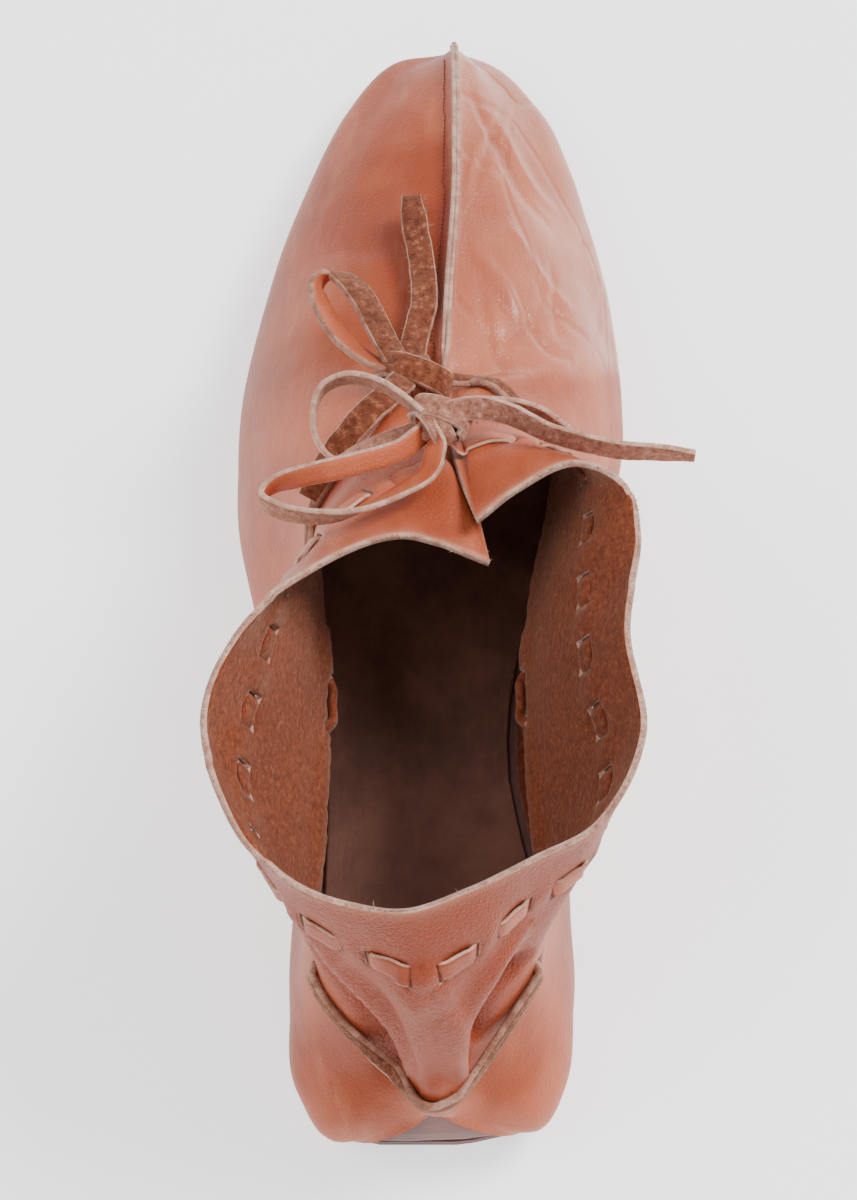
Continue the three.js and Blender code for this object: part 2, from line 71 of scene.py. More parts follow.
# Shoe pattern: the sections that the upper follows, as shares of the shoe's named sizes.
COLUMNS = (
    "name edgeAlong edgeAcross bulge ankleAlong ankleAcross ankleUp "
    "neckAlong neckAcross neckUp topAlong topAcross topUp"
).split()
OUTER_SIDE = [
    ("heel back", 0.005, -0.029, 0.7, 0.014, -0.029, 0.57, 0.078, 0, 1.54, 0.109, 0.081, 1.88),
    ("heel corner", 0.012, 0.544, 0.9, 0.034, 0.235, 0.63, 0.086, 0.222, 1.56, 0.112, 0.323, 1.9),
    ("heel round", 0.045, 0.838, 1, 0.072, 0.588, 0.77, 0.117, 0.56, 1.6, 0.129, 0.606, 1.92),
    ("heel side", 0.103, 0.906, 0.9, 0.124, 0.824, 0.92, 0.169, 0.785, 1.64, 0.166, 0.845, 1.96),
    ("shank", 0.214, 0.821, 1.2, 0.221, 0.787, 0.93, 0.248, 0.869, 1.65, 0.252, 1.01, 2.0),
    ("waist", 0.338, 0.685, 2, 0.331, 0.621, 0.95, 0.314, 0.798, 1.65, 0.321, 0.89, 1.98),
    ("back of ball", 0.455, 0.766, 2.1, 0.428, 0.602, 1.0, 0.4, 0.636, 1.65, 0.376, 0.616, 1.92),
    ("front of collar", 0.531, 0.882, 1.5, 0.493, 0.623, 0.98, 0.466, 0.323, 1.6, 0.419, 0.121, 1.83),
    ("flap corner", 0.586, 0.918, 1.1, 0.545, 0.653, 0.9, 0.503, -0.02, 1.56, 0.397, -0.283, 1.79),
    ("flap edge", 0.628, 0.918, 1.1, 0.59, 0.684, 0.81, 0.562, 0.162, 1.24, 0.503, -0.17, 1.48),
    ("flap root", 0.648, 0.91, 1.1, 0.616, 0.688, 0.767, 0.593, 0.242, 1.08, 0.572, -0.045, 1.13),
    ("throat", 0.669, 0.894, 1.1, 0.641, 0.684, 0.725, 0.621, 0.306, 0.94, 0.607, -0.071, 1.0),
    ("forepart", 0.748, 0.796, 1.1, 0.731, 0.602, 0.617, 0.717, 0.224, 0.825, 0.707, -0.106, 0.875),
    ("toe side", 0.834, 0.65, 1, 0.821, 0.48, 0.525, 0.814, 0.122, 0.683, 0.81, -0.139, 0.742),
    ("toe corner", 0.938, 0.393, 1, 0.93, 0.27, 0.4, 0.923, 0.031, 0.52, 0.92, -0.143, 0.575),
    ("toe round", 0.992, 0.149, 0.9, 0.985, 0.085, 0.3, 0.98, -0.061, 0.385, 0.976, -0.143, 0.425),
    ("toe tip", 0.998, -0.139, 0.9, 1.004, -0.139, 0.233, 1.002, -0.139, 0.285, 0.998, -0.139, 0.325),
]
INNER_SIDE = [
    ("heel corner", 0.016, 0.588, 0.9, 0.038, 0.265, 0.63, 0.093, 0.202, 1.56, 0.126, 0.192, 1.89),
    ("heel round", 0.045, 0.882, 1, 0.076, 0.574, 0.77, 0.128, 0.434, 1.58, 0.148, 0.475, 1.92),
    ("heel side", 0.103, 0.956, 0.9, 0.124, 0.765, 0.92, 0.16, 0.71, 1.63, 0.174, 0.765, 1.95),
    ("shank", 0.214, 0.835, 1.6, 0.221, 0.773, 0.93, 0.238, 0.838, 1.66, 0.241, 0.965, 2.0),
    ("waist", 0.338, 0.543, 3, 0.331, 0.597, 0.95, 0.317, 0.758, 1.66, 0.328, 0.909, 2.0),
    ("back of ball", 0.455, 0.579, 2.9, 0.421, 0.574, 1.0, 0.403, 0.743, 1.65, 0.405, 0.966, 1.99),
    ("collar lobe", 0.531, 0.796, 1.9, 0.486, 0.634, 1.0, 0.466, 0.768, 1.62, 0.452, 0.899, 1.96),
    ("front of collar", 0.583, 0.902, 1.3, 0.528, 0.673, 0.975, 0.502, 0.657, 1.6, 0.474, 0.667, 1.92),
    ("flap front", 0.617, 0.945, 1.1, 0.562, 0.704, 0.91, 0.519, 0.394, 1.56, 0.455, 0.414, 1.88),
    ("flap corner", 0.645, 0.951, 1, 0.593, 0.724, 0.83, 0.534, 0.222, 1.48, 0.428, 0.214, 1.86),
    ("flap edge", 0.669, 0.947, 1, 0.624, 0.745, 0.77, 0.583, 0.273, 1.18, 0.514, 0.111, 1.53),
    ("flap root", 0.683, 0.941, 1, 0.641, 0.751, 0.74, 0.609, 0.343, 1.04, 0.579, 0.093, 1.19),
    ("throat", 0.697, 0.931, 1.1, 0.659, 0.755, 0.713, 0.631, 0.408, 0.925, 0.607, 0.071, 1.0),
    ("forepart", 0.762, 0.875, 1.1, 0.738, 0.694, 0.617, 0.724, 0.408, 0.825, 0.707, 0.106, 0.875),
    ("toe side", 0.841, 0.77, 1, 0.824, 0.582, 0.525, 0.817, 0.367, 0.683, 0.81, 0.139, 0.742),
    ("toe corner", 0.938, 0.567, 1, 0.93, 0.45, 0.4, 0.924, 0.29, 0.52, 0.92, 0.143, 0.575),
    ("toe round", 0.989, 0.333, 0.9, 0.984, 0.285, 0.3, 0.98, 0.224, 0.385, 0.976, 0.143, 0.425),
    ("toe tip", 0.998, 0.139, 0.9, 1.004, 0.139, 0.233, 1.002, 0.139, 0.285, 0.998, 0.139, 0.325),
]


def ease(t: Array | float) -> Array | float:
    """Smooth step from 0 to 1, held flat outside."""
    c = np.clip(t, 0.0, 1.0)
    return c * c * (3 - 2 * c)


def mix(a: Array | float, b: Array | float, t: Array | float) -> Array | float:
    """Straight blend from a to b."""
    return a + (b - a) * t


class Spline:
    """A centripetal Catmull-Rom line through points, one unit of t to each stretch."""

    def __init__(self, points: Sequence[Sequence[float]]) -> None:
        """Works out each stretch's cubic.

        Args:
            points: the places that the line passes.
        """
        p = np.asarray(points, float)
        full = np.vstack([2 * p[0] - p[1], p, 2 * p[-1] - p[-2]])
        p0, p1, p2, p3 = full[:-3], full[1:-2], full[2:-1], full[3:]
        d0, d1, d2 = (
            np.sqrt(np.linalg.norm(b - a, axis=1))[:, None]
            for a, b in ((p0, p1), (p1, p2), (p2, p3))
        )
        d1 = np.where(d1 < 1e-4, 1.0, d1)
        d0 = np.where(d0 < 1e-4, d1, d0)
        d2 = np.where(d2 < 1e-4, d1, d2)
        t1 = ((p1 - p0) / d0 - (p2 - p0) / (d0 + d1) + (p2 - p1) / d1) * d1
        t2 = ((p2 - p1) / d1 - (p3 - p1) / (d1 + d2) + (p3 - p2) / d2) * d1
        self.cubics = (p1, t1, -3 * p1 + 3 * p2 - 2 * t1 - t2, 2 * p1 - 2 * p2 + t1 + t2)
        self.count = len(p1)

    def at(self, t: Array | float) -> Array:
        """Places on the line.

        Args:
            t: one value or many, from 0 to the number of stretches.

        Returns:
            One row for each value.
        """
        t = np.atleast_1d(np.asarray(t, float))
        i = np.clip(np.floor(t).astype(int), 0, self.count - 1)
        w = (t - i)[:, None]
        c0, c1, c2, c3 = (c[i] for c in self.cubics)
        return ((c3 * w + c2) * w + c1) * w + c0


class BrokenSpline:
    """A line in pieces that meet with a corner at each break."""

    def __init__(self, points: Array, breaks: Sequence[int]) -> None:
        """Makes one spline for each piece.

        Args:
            points: the places that the line passes.
            breaks: the numbers of the points where it has a corner.
        """
        self.ends = [0, *breaks, len(points) - 1]
        self.pieces = [Spline(points[a : b + 1]) for a, b in zip(self.ends, self.ends[1:])]

    def at(self, t: Array | float) -> Array:
        """Places on the line, as Spline.at gives them.

        Args:
            t: one value or many.

        Returns:
            One row for each value.
        """
        t = np.atleast_1d(np.asarray(t, float))
        out = np.zeros((len(t), 3))
        which = np.clip(np.searchsorted(self.ends, t, side="left") - 1, 0, len(self.pieces) - 1)
        for k, piece in enumerate(self.pieces):
            mine = which == k
            if mine.any():
                out[mine] = piece.at(t[mine] - self.ends[k])
        return out


@dataclass
class Pattern:
    """The shoe's sizes in metres, and the upper's surface over section u and level v."""

    length: float = 290 * MM
    heel_width: float = 68 * MM
    ball_width: float = 98 * MM
    collar_width: float = 99 * MM
    instep_height: float = 60 * MM
    collar_height: float = 110 * MM
    heel_seat: float = 38 * MM
    wall: float = 1.6 * MM
    overhang: float = 3 * MM
    bulge_height: float = 13 * MM
    clearance: float = 0.3 * MM
    sole_thickness: float = 4 * MM
    toe_spring: float = 5 * MM
    arch_rise: float = 1.6 * MM

    def __post_init__(self) -> None:
        """Lays out the level lines through all the sections, from toe round heel to toe."""
        rows = [self.section(r, Side.OUTER) for r in OUTER_SIDE][::-1]
        self.heel = len(rows) - 1
        rows += [self.section(r, Side.INNER) for r in INNER_SIDE]
        self.last = len(rows) - 1
        names = [r[0] for r in OUTER_SIDE][::-1] + [r[0] for r in INNER_SIDE]
        self.outer_throat, self.inner_throat = names.index("throat"), self.last - names[::-1].index("throat")
        corners = [names.index("flap corner"), self.last - names[::-1].index("flap corner")]
        edge, ankle, neck, top = (np.array([r[k] for r in rows]) for k in (0, 2, 3, 4))
        self.bulges = np.array([r[1] for r in rows])
        self.edge, self.ankle, self.neck = Spline(edge), Spline(ankle), Spline(neck)
        self.breaks = [self.outer_throat, corners[0], corners[1], self.inner_throat]
        self.top = BrokenSpline(top, self.breaks)

    def foot_half(self, along: float) -> float:
        """Half the foot's width at a share of the length."""
        return mix(self.heel_width, self.ball_width, ease((along - 0.15) / 0.35)) / 2

    def rise(self, up: float) -> float:
        """A height from its share of the instep's and the collar's heights."""
        low, high = self.instep_height, self.collar_height
        return up * low if up <= 1 else mix(low, high, up - 1)

    def lift(self, y: Array | float) -> Array | float:
        """How far the sole's underside lifts off the floor at y.

        Args:
            y: how far forward of the heel seat's middle.

        Returns:
            The height of the underside there.
        """
        along = (y + self.heel_seat) / self.length
        arch = np.sin(np.pi * np.clip((along - 0.22) / 0.33, 0, 1)) ** 2
        toe = np.maximum(0, (along - 0.72) / 0.28) ** 2
        return self.arch_rise * arch + self.toe_spring * toe

    def section(self, cells: Sequence, side: Side) -> tuple:
        """One section's points: edge, bulge, ankle, neck and top.

        Args:
            cells: a row of the table.
            side: the side of the foot that it is on.

        Returns:
            The four points, with the bulge after the first.
        """
        r = dict(zip(COLUMNS, cells))
        on_vamp = r["name"].startswith(("throat", "forepart", "toe"))
        upper_half = (self.ball_width if on_vamp else self.collar_width) / 2

        def at(along: float, across: float, half: float, up: float) -> Array:
            """A point from its shares of the length and of half a width, and its height."""
            return np.array([side.value * across * half, along * self.length - self.heel_seat, up])

        edge = at(r["edgeAlong"], r["edgeAcross"], self.foot_half(r["edgeAlong"]), 0)
        edge[2] = self.sole_thickness + self.lift(edge[1]) + self.clearance
        ankle = at(
            r["ankleAlong"], r["ankleAcross"], self.foot_half(r["ankleAlong"]), self.rise(r["ankleUp"])
        )
        neck = at(r["neckAlong"], r["neckAcross"], upper_half, self.rise(r["neckUp"]))
        top = at(r["topAlong"], r["topAcross"], upper_half, self.rise(r["topUp"]))
        return edge, r["bulge"] * self.overhang, ankle, neck, top

    def column(self, u: float, vs: Array) -> Array:
        """The surface along one section.

        Args:
            u: the section.
            vs: the levels, from 0 at the sole's edge to 4 at the top.

        Returns:
            One point for each level.
        """
        i = int(min(self.last - 1, math.floor(u)))
        bulge = mix(self.bulges[i], self.bulges[i + 1], u - i)
        edge, ankle = self.edge.at(u)[0], self.ankle.at(u)[0]
        side = self.edge_out(u, bulge)
        side[2] = edge[2] + min(self.bulge_height, 0.45 * (ankle[2] - edge[2]))
        return Spline([edge, side, ankle, self.neck.at(u)[0], self.top.at(u)[0]]).at(vs)

    def edge_out(self, u: float, out: float) -> Array:
        """The sole's edge at u, moved outwards by an amount.

        Args:
            u: the section.
            out: how far out.

        Returns:
            The moved place.
        """
        step = 0.02
        if u < step or u > self.last - step:
            outwards = np.array([0.0, 1.0, 0.0])
        else:
            d = self.edge.at(u + step)[0] - self.edge.at(u - step)[0]
            outwards = np.array([d[1], -d[0], 0.0])
        return self.edge.at(u)[0] + outwards / np.linalg.norm(outwards) * out

    def surface(self, u: float, v: float) -> Array:
        """One point of the outer surface."""
        return self.column(u, np.array([v]))[0]

    def on_vamp(self, u: float) -> bool:
        """Whether a section ends at the vamp's seam."""
        return u <= self.outer_throat or u >= self.inner_throat

    def normal(self, u: float, v: float) -> Array:
        """The outward normal, in the seam's own plane beside the seam.

        Args:
            u: the section.
            v: the level.

        Returns:
            A unit direction.
        """
        step = 0.03
        vamp = self.on_vamp(u)
        nu = min(self.last - 0.3, max(0.3, u))
        nv = min(3.7 if vamp else 4 - step, max(step, v))
        du = self.surface(nu + step, nv) - self.surface(nu - step, nv)
        dv = self.surface(nu, nv + step) - self.surface(nu, nv - step)
        n = np.cross(du, dv)
        n /= np.linalg.norm(n)
        if vamp:
            n[0] *= min(1.0, abs(self.surface(u, v)[0] - self.top.at(u)[0][0]) / SEAM_TURN)
        return n / np.linalg.norm(n)


@dataclass
class Route:
    """A thong's way over the upper, by length."""

    pattern: Pattern
    stops: Sequence[tuple[float, float]]

    def __post_init__(self) -> None:
        """Measures the way."""
        line = Spline([(u, 4 * v, 0) for u, v in self.stops])
        fine = line.at(np.linspace(0, line.count, len(self.stops) * 40 + 1))
        self.us, self.vs = fine[:, 0], fine[:, 1] / 4
        places = np.array([self.pattern.surface(u, v) for u, v in zip(self.us, self.vs)])
        steps = np.linalg.norm(np.diff(places, axis=0), axis=1)
        self.lengths = np.concatenate([[0], np.cumsum(steps)])

    @property
    def total(self) -> float:
        """The whole length."""
        return float(self.lengths[-1])

    def at(self, d: Array | float) -> tuple[Array, Array]:
        """Section and level at a length."""
        return np.interp(d, self.lengths, self.us), np.interp(d, self.lengths, self.vs)

    def length_at(self, u: float) -> float:
        """The length at which the way reaches a section."""
        return float(np.interp(u, self.us, self.lengths))


# Shader maths and finishes


class Sock:
    """A shader socket that takes Python's arithmetic."""

    def __init__(self, recipe: "Recipe", socket: bpy.types.NodeSocket) -> None:
        """Keeps the socket with its recipe."""
        self.recipe, self.socket = recipe, socket

    def math(self, operation: str, *values: "Sock | float") -> "Sock":
        """One Math node.

        Args:
            operation: the node's operation.
            values: its inputs, in order.

        Returns:
            The result's socket.
        """
        return self.recipe.node("ShaderNodeMath", {"operation": operation}, dict(enumerate(values)))

    def __add__(self, other: "Sock | float") -> "Sock":
        """Sum."""
        return self.math("ADD", self, other)

    __radd__ = __add__

    def __sub__(self, other: "Sock | float") -> "Sock":
        """Difference."""
        return self.math("SUBTRACT", self, other)

    def __rsub__(self, other: "Sock | float") -> "Sock":
        """Difference, reflected."""
        return self.math("SUBTRACT", other, self)

    def __mul__(self, other: "Sock | float") -> "Sock":
        """Product."""
        return self.math("MULTIPLY", self, other)

    __rmul__ = __mul__

    def band(self, low: float, high: float, start: float = 0.0, end: float = 1.0) -> "Sock":
        """A smooth step from start to end between two values."""
        settings = {"interpolation_type": "SMOOTHSTEP", "clamp": True}
        return self.recipe.node("ShaderNodeMapRange", settings, {0: self, 1: low, 2: high, 3: start, 4: end})


class Recipe:
    """A material under construction, on object coordinates."""

    def __init__(self, name: str) -> None:
        """Starts an empty node tree.

        Args:
            name: the finish's name.
        """
        self.material = bpy.data.materials.new(name)
        self.material.use_nodes = True
        self.tree = self.material.node_tree
        self.tree.nodes.clear()
        self.place = self.node("ShaderNodeTexCoord", {}, {}, "Object")

    def node(self, kind: str, settings: dict, sockets: dict, out: int | str = 0) -> Sock:
        """Adds a node.

        Args:
            kind: the node's type.
            settings: its own settings.
            sockets: values or links for its inputs.
            out: the output that is wanted.

        Returns:
            That output.
        """
        made = self.tree.nodes.new(kind)
        for key, value in settings.items():
            setattr(made, key, value)
        for key, value in sockets.items():
            if isinstance(value, Sock):
                self.tree.links.new(value.socket, made.inputs[key])
            else:
                made.inputs[key].default_value = value
        return Sock(self, made.outputs[out])

    def noise(self, scale: float, detail: float = 3, rough: float = 0.55, at: Sock | None = None) -> Sock:
        """Noise over object coordinates, or others."""
        sockets = {"Vector": at or self.place, "Scale": scale, "Detail": detail, "Roughness": rough}
        return self.node("ShaderNodeTexNoise", {}, sockets, 0)

    def cells(self, scale: float, feature: str = "F1", at: Sock | None = None) -> Sock:
        """Voronoi cells over object coordinates, or others."""
        settings = {"feature": feature}
        return self.node("ShaderNodeTexVoronoi", settings, {"Vector": at or self.place, "Scale": scale})

    def stretched(self, turn: tuple[float, float, float], scale: tuple[float, float, float]) -> Sock:
        """Object coordinates, turned and scaled by axis."""
        sockets = {"Vector": self.place, "Rotation": turn, "Scale": scale}
        return self.node("ShaderNodeMapping", {}, sockets)

    def blend(self, factor: Sock | float, a: Sock | tuple, b: Sock | tuple) -> Sock:
        """A blend of two colours.

        Args:
            factor: the share of b.
            a: the first colour.
            b: the second colour.

        Returns:
            The blended colour.
        """
        settings = {"data_type": "RGBA", "blend_type": "MIX"}
        a, b = ((*c, 1) if isinstance(c, tuple) else c for c in (a, b))
        return self.node("ShaderNodeMix", settings, {0: factor, 6: a, 7: b}, 2)

    def worn_edge_and_painted_light(self, channel: int) -> Sock:
        """One channel of the piece's vertex colours: 0 worn edge, 1 gloss with its painted light, 2 painted
        shade in the creases with the shaft's darker tone.
        """
        colour = self.node("ShaderNodeAttribute", {"attribute_name": "worn_edge_and_painted_light"}, {}, 0)
        return self.node("ShaderNodeSeparateColor", {}, {0: colour}, channel)

    def bump(self, height: Sock, depth: float, strength: float = 1.0, under: Sock | None = None) -> Sock:
        """A bump of a depth in metres, over another where one is given.

        Args:
            height: the relief, from 0 to 1.
            depth: its depth in metres.
            strength: its share.
            under: a normal that it is laid over.

        Returns:
            The bumped normal.
        """
        sockets = {"Strength": strength, "Distance": depth, "Height": height}
        if under:
            sockets["Normal"] = under
        return self.node("ShaderNodeBump", {}, sockets)

    def close(
        self, colour: Sock, rough: Sock | float, normal: Sock, **constants: float | tuple
    ) -> bpy.types.Material:
        """Ends the recipe in its shader.

        Args:
            colour: base colour.
            rough: roughness.
            normal: the bumped normal.
            constants: the shader's other sockets, by name with _ for spaces.

        Returns:
            The material.
        """
        sockets = {"Base Color": colour, "Roughness": rough, "Normal": normal}
        sockets |= {key.replace("_", " "): value for key, value in constants.items()}
        shader = self.node("ShaderNodeBsdfPrincipled", {}, sockets)
        output = self.tree.nodes.new("ShaderNodeOutputMaterial")
        self.tree.links.new(shader.socket, output.inputs[0])
        return self.material


@dataclass(frozen=True)
class GrainLeather:
    """The smooth outside of tanned hide: pores, fine cells and soft clouds of colour."""

    name: str = "grain_leather"
    base: tuple = (0.52, 0.122, 0.052)
    deep: tuple = (0.275, 0.043, 0.012)
    pale: tuple = (0.64, 0.21, 0.115)
    edge: tuple = (0.56, 0.25, 0.16)
    with_worn_edge_and_painted_light: bool = True

    def material(self) -> bpy.types.Material:
        """Builds the finish.

        Returns:
            The material.
        """
        r = Recipe(self.name)
        clouds = r.noise(14, 4, 0.6)
        streaks = r.noise(1, 4, 0.6, r.stretched((0, 0, 0.2), (90, 22, 40)))
        colour = r.blend(clouds.band(0.34, 0.68), self.deep, self.base)
        colour = r.blend(streaks.band(0.5, 0.75) * 0.4, colour, self.pale)
        pores = r.cells(900, "DISTANCE_TO_EDGE")
        fine = r.noise(1500, 2, 0.5)
        colour = r.blend(pores.band(0.0, 0.12, 0.22, 0.0), colour, self.deep)
        grain = pores.band(0, 0.35) * 0.8 + fine * 0.6
        rough = 0.38 + clouds * 0.22
        coat = 0.05
        wrinkle = r.noise(1, 5, 0.62, r.stretched((0, 0, 0.35), (60, 26, 45)))
        folds = r.cells(34, "DISTANCE_TO_EDGE", r.stretched((0, 0, 0.5), (1, 0.55, 1)))
        if self.with_worn_edge_and_painted_light:
            edge, gloss_and_painted_light, painted_shade_and_tone = (r.worn_edge_and_painted_light(k) for k in range(3))
            # Painted light: the medial vamp, which faces the key lamp, is painted paler here. The same mask
            # also lowers the roughness and adds coat for the real gloss.
            colour = r.blend(gloss_and_painted_light * 0.45, colour, self.pale)
            # Painted shade: darker in the creases' troughs. The shaft is also painted darker.
            colour = r.blend(painted_shade_and_tone, colour, self.deep)
            colour = r.blend(edge * 0.7, colour, self.edge)
            rough = rough - gloss_and_painted_light * 0.14
            coat = gloss_and_painted_light * 0.4 + 0.02
            lines = folds.band(0.0, 0.05, 1.0, 0.0) * gloss_and_painted_light
            normal = r.bump(wrinkle + lines * -0.4 + gloss_and_painted_light * streaks * 0.6, 0.0014, 0.7)
            grain = grain * (painted_shade_and_tone * 0.9 + 0.38)
        else:
            normal = r.bump(wrinkle, 0.0004, 0.4)
            grain = grain * 0.4
        normal = r.bump(grain, 0.00022, 0.75, normal)
        return r.close(colour, rough, normal, Specular_IOR_Level=0.34, Coat_Weight=coat, Coat_Roughness=0.36)


@dataclass(frozen=True)
class Suede:
    """The flesh side: short nap, mottled with dark flecks."""

    name: str = "suede"
    base: tuple = (0.235, 0.048, 0.017)
    dark: tuple = (0.11, 0.019, 0.008)
    light: tuple = (0.37, 0.11, 0.05)
    grain: float = 700

    def material(self) -> bpy.types.Material:
        """Builds the finish.

        Returns:
            The material.
        """
        r = Recipe(self.name)
        nap = r.noise(self.grain, 4, 0.7)
        patches = r.noise(30, 3, 0.6)
        colour = r.blend(patches.band(0.3, 0.7), self.dark, self.base)
        colour = r.blend(0.55, colour, self.base)
        colour = r.blend(nap.band(0.36, 0.5, 0.75, 0.0), colour, self.dark)
        colour = r.blend(nap.band(0.52, 0.68, 0.0, 0.6), colour, self.light)
        normal = r.bump(nap, 0.0009, 0.8)
        return r.close(
            colour, 0.95, normal, Specular_IOR_Level=0.15, Sheen_Weight=0.35, Sheen_Roughness=0.5,
            Sheen_Tint=(0.9, 0.6, 0.45, 1),
        )


@dataclass(frozen=True)
class CutEdge:
    """The raw cut through the hide: pale, fibrous."""

    name: str = "cut_edge"
    base: tuple = (0.42, 0.205, 0.14)
    pale: tuple = (0.62, 0.375, 0.285)
    dark: tuple = (0.32, 0.125, 0.075)

    def material(self) -> bpy.types.Material:
        """Builds the finish.

        Returns:
            The material.
        """
        r = Recipe(self.name)
        fibres = r.noise(1700, 3, 0.7)
        spots = r.noise(260, 3, 0.6)
        colour = r.blend(spots.band(0.35, 0.65), self.base, self.pale)
        colour = r.blend(fibres.band(0.3, 0.48, 0.7, 0.0), colour, self.dark)
        normal = r.bump(fibres, 0.0005, 0.8)
        return r.close(colour, 0.92, normal, Specular_IOR_Level=0.2, Sheen_Weight=0.3)


@dataclass(frozen=True)
class FirmLeather:
    """Firm, worn-smooth leather of the sole and the insole."""

    name: str
    base: tuple
    dark: tuple
    rough: float = 0.5

    def material(self) -> bpy.types.Material:
        """Builds the finish.

        Returns:
            The material.
        """
        r = Recipe(self.name)
        clouds = r.noise(32, 5, 0.62)
        drag = r.noise(1, 4, 0.6, r.stretched((0, 0, 0.1), (400, 60, 400)))
        colour = r.blend(clouds.band(0.34, 0.66), self.dark, self.base)
        colour = r.blend(drag.band(0.55, 0.75, 0.0, 0.35), colour, self.base)
        specks = r.cells(260)
        colour = r.blend(specks.band(0.0, 0.12, 0.5, 0.0), colour, self.dark)
        fine = r.noise(1100, 3, 0.6)
        normal = r.bump(drag, 0.0004, 0.4)
        normal = r.bump(fine, 0.00015, 0.5, normal)
        return r.close(colour, self.rough + clouds * 0.2, normal, Specular_IOR_Level=0.35)


@dataclass(frozen=True)
class Thread:
    """Waxed linen."""

    name: str = "linen_thread"
    base: tuple = (0.30, 0.07, 0.04)
    dark: tuple = (0.14, 0.03, 0.02)

    def material(self) -> bpy.types.Material:
        """Builds the finish.

        Returns:
            The material.
        """
        r = Recipe(self.name)
        ply = r.noise(2500, 2, 0.5)
        colour = r.blend(ply.band(0.4, 0.6), self.dark, self.base)
        return r.close(colour, 0.6, r.bump(ply, 0.0001, 0.6), Specular_IOR_Level=0.3)


@dataclass(frozen=True)
class Paper:
    """The studio's pale ground."""

    name: str = "studio_paper"

    def material(self) -> bpy.types.Material:
        """Builds the finish.

        Returns:
            The material.
        """
        r = Recipe(self.name)
        tooth = r.noise(60, 2, 0.5)
        colour = r.blend(tooth, (0.90, 0.90, 0.895), (0.93, 0.93, 0.93))
        return r.close(
            colour, 0.95, r.bump(tooth, 0.0001, 0.1), Specular_IOR_Level=0.1, Emission_Color=(1, 1, 1, 1),
            Emission_Strength=1.1,
        )


# Mesh work


def lay_sheet(bm: bmesh.types.BMesh, points: Array) -> list:
    """Lays a grid on points.

    Args:
        bm: the mesh.
        points: columns by rows by 3; the outside is on the left of a column's way up.

    Returns:
        The new vertices, column by column inside each row.
    """
    n, m = points.shape[:2]
    verts = bmesh.ops.create_grid(bm, x_segments=n - 1, y_segments=m - 1, size=1)["verts"]
    for vert, place in zip(verts, points.transpose(1, 0, 2).reshape(-1, 3)):
        vert.co = place
    return verts


def lay_tube(
    bm: bmesh.types.BMesh, rings: Array, zones: Sequence[int], lined: Array | None = None
) -> None:
    """Lays a closed tube through rings, with filled ends.

    Args:
        bm: the mesh.
        rings: rings by points round by 3.
        zones: the material of each face round the ring; the ends take the last.
        lined: whether the stretch after each ring takes material 1 all round.
    """
    count, around = rings.shape[:2]
    closed = np.concatenate([rings, rings[:, :1]], axis=1)
    before = len(bm.faces)
    verts = lay_sheet(bm, closed.transpose(1, 0, 2))
    bm.faces.ensure_lookup_table()
    for k, face in enumerate(bm.faces[before:]):
        hidden = lined is not None and lined[k // around]
        face.material_index = 1 if hidden else zones[k % around]
        face.smooth = True
    bmesh.ops.remove_doubles(bm, verts=verts, dist=1e-7)
    own = {e for f in list(bm.faces)[before:] for e in f.edges}
    caps = bmesh.ops.holes_fill(bm, edges=[e for e in own if e.is_boundary], sides=0)["faces"]
    for face in caps:
        face.material_index = zones[-1]
    bmesh.ops.recalc_face_normals(bm, faces=list(bm.faces)[before:])


def make_piece(
    bm: bmesh.types.BMesh,
    name: str,
    finishes: Sequence[bpy.types.Material],
    replaces: Sequence[str] = (),
) -> bpy.types.Object:
    """Turns a mesh into a piece that rides on the shoe.

    Args:
        bm: the mesh, which is freed.
        name: the piece's name.
        finishes: its materials.
        replaces: the model's solids that it stands for.

    Returns:
        The object.
    """
    mesh = bpy.data.meshes.new(name)
    bm.to_mesh(mesh)
    bm.free()
    piece = bpy.data.objects.new(name, mesh)
    bpy.context.scene.collection.objects.link(piece)
    for finish in finishes:
        mesh.materials.append(finish)
    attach(piece, "root")
    if replaces:
        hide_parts(*replaces)
    log.info("%s: %d faces", name, len(mesh.polygons))
    return piece


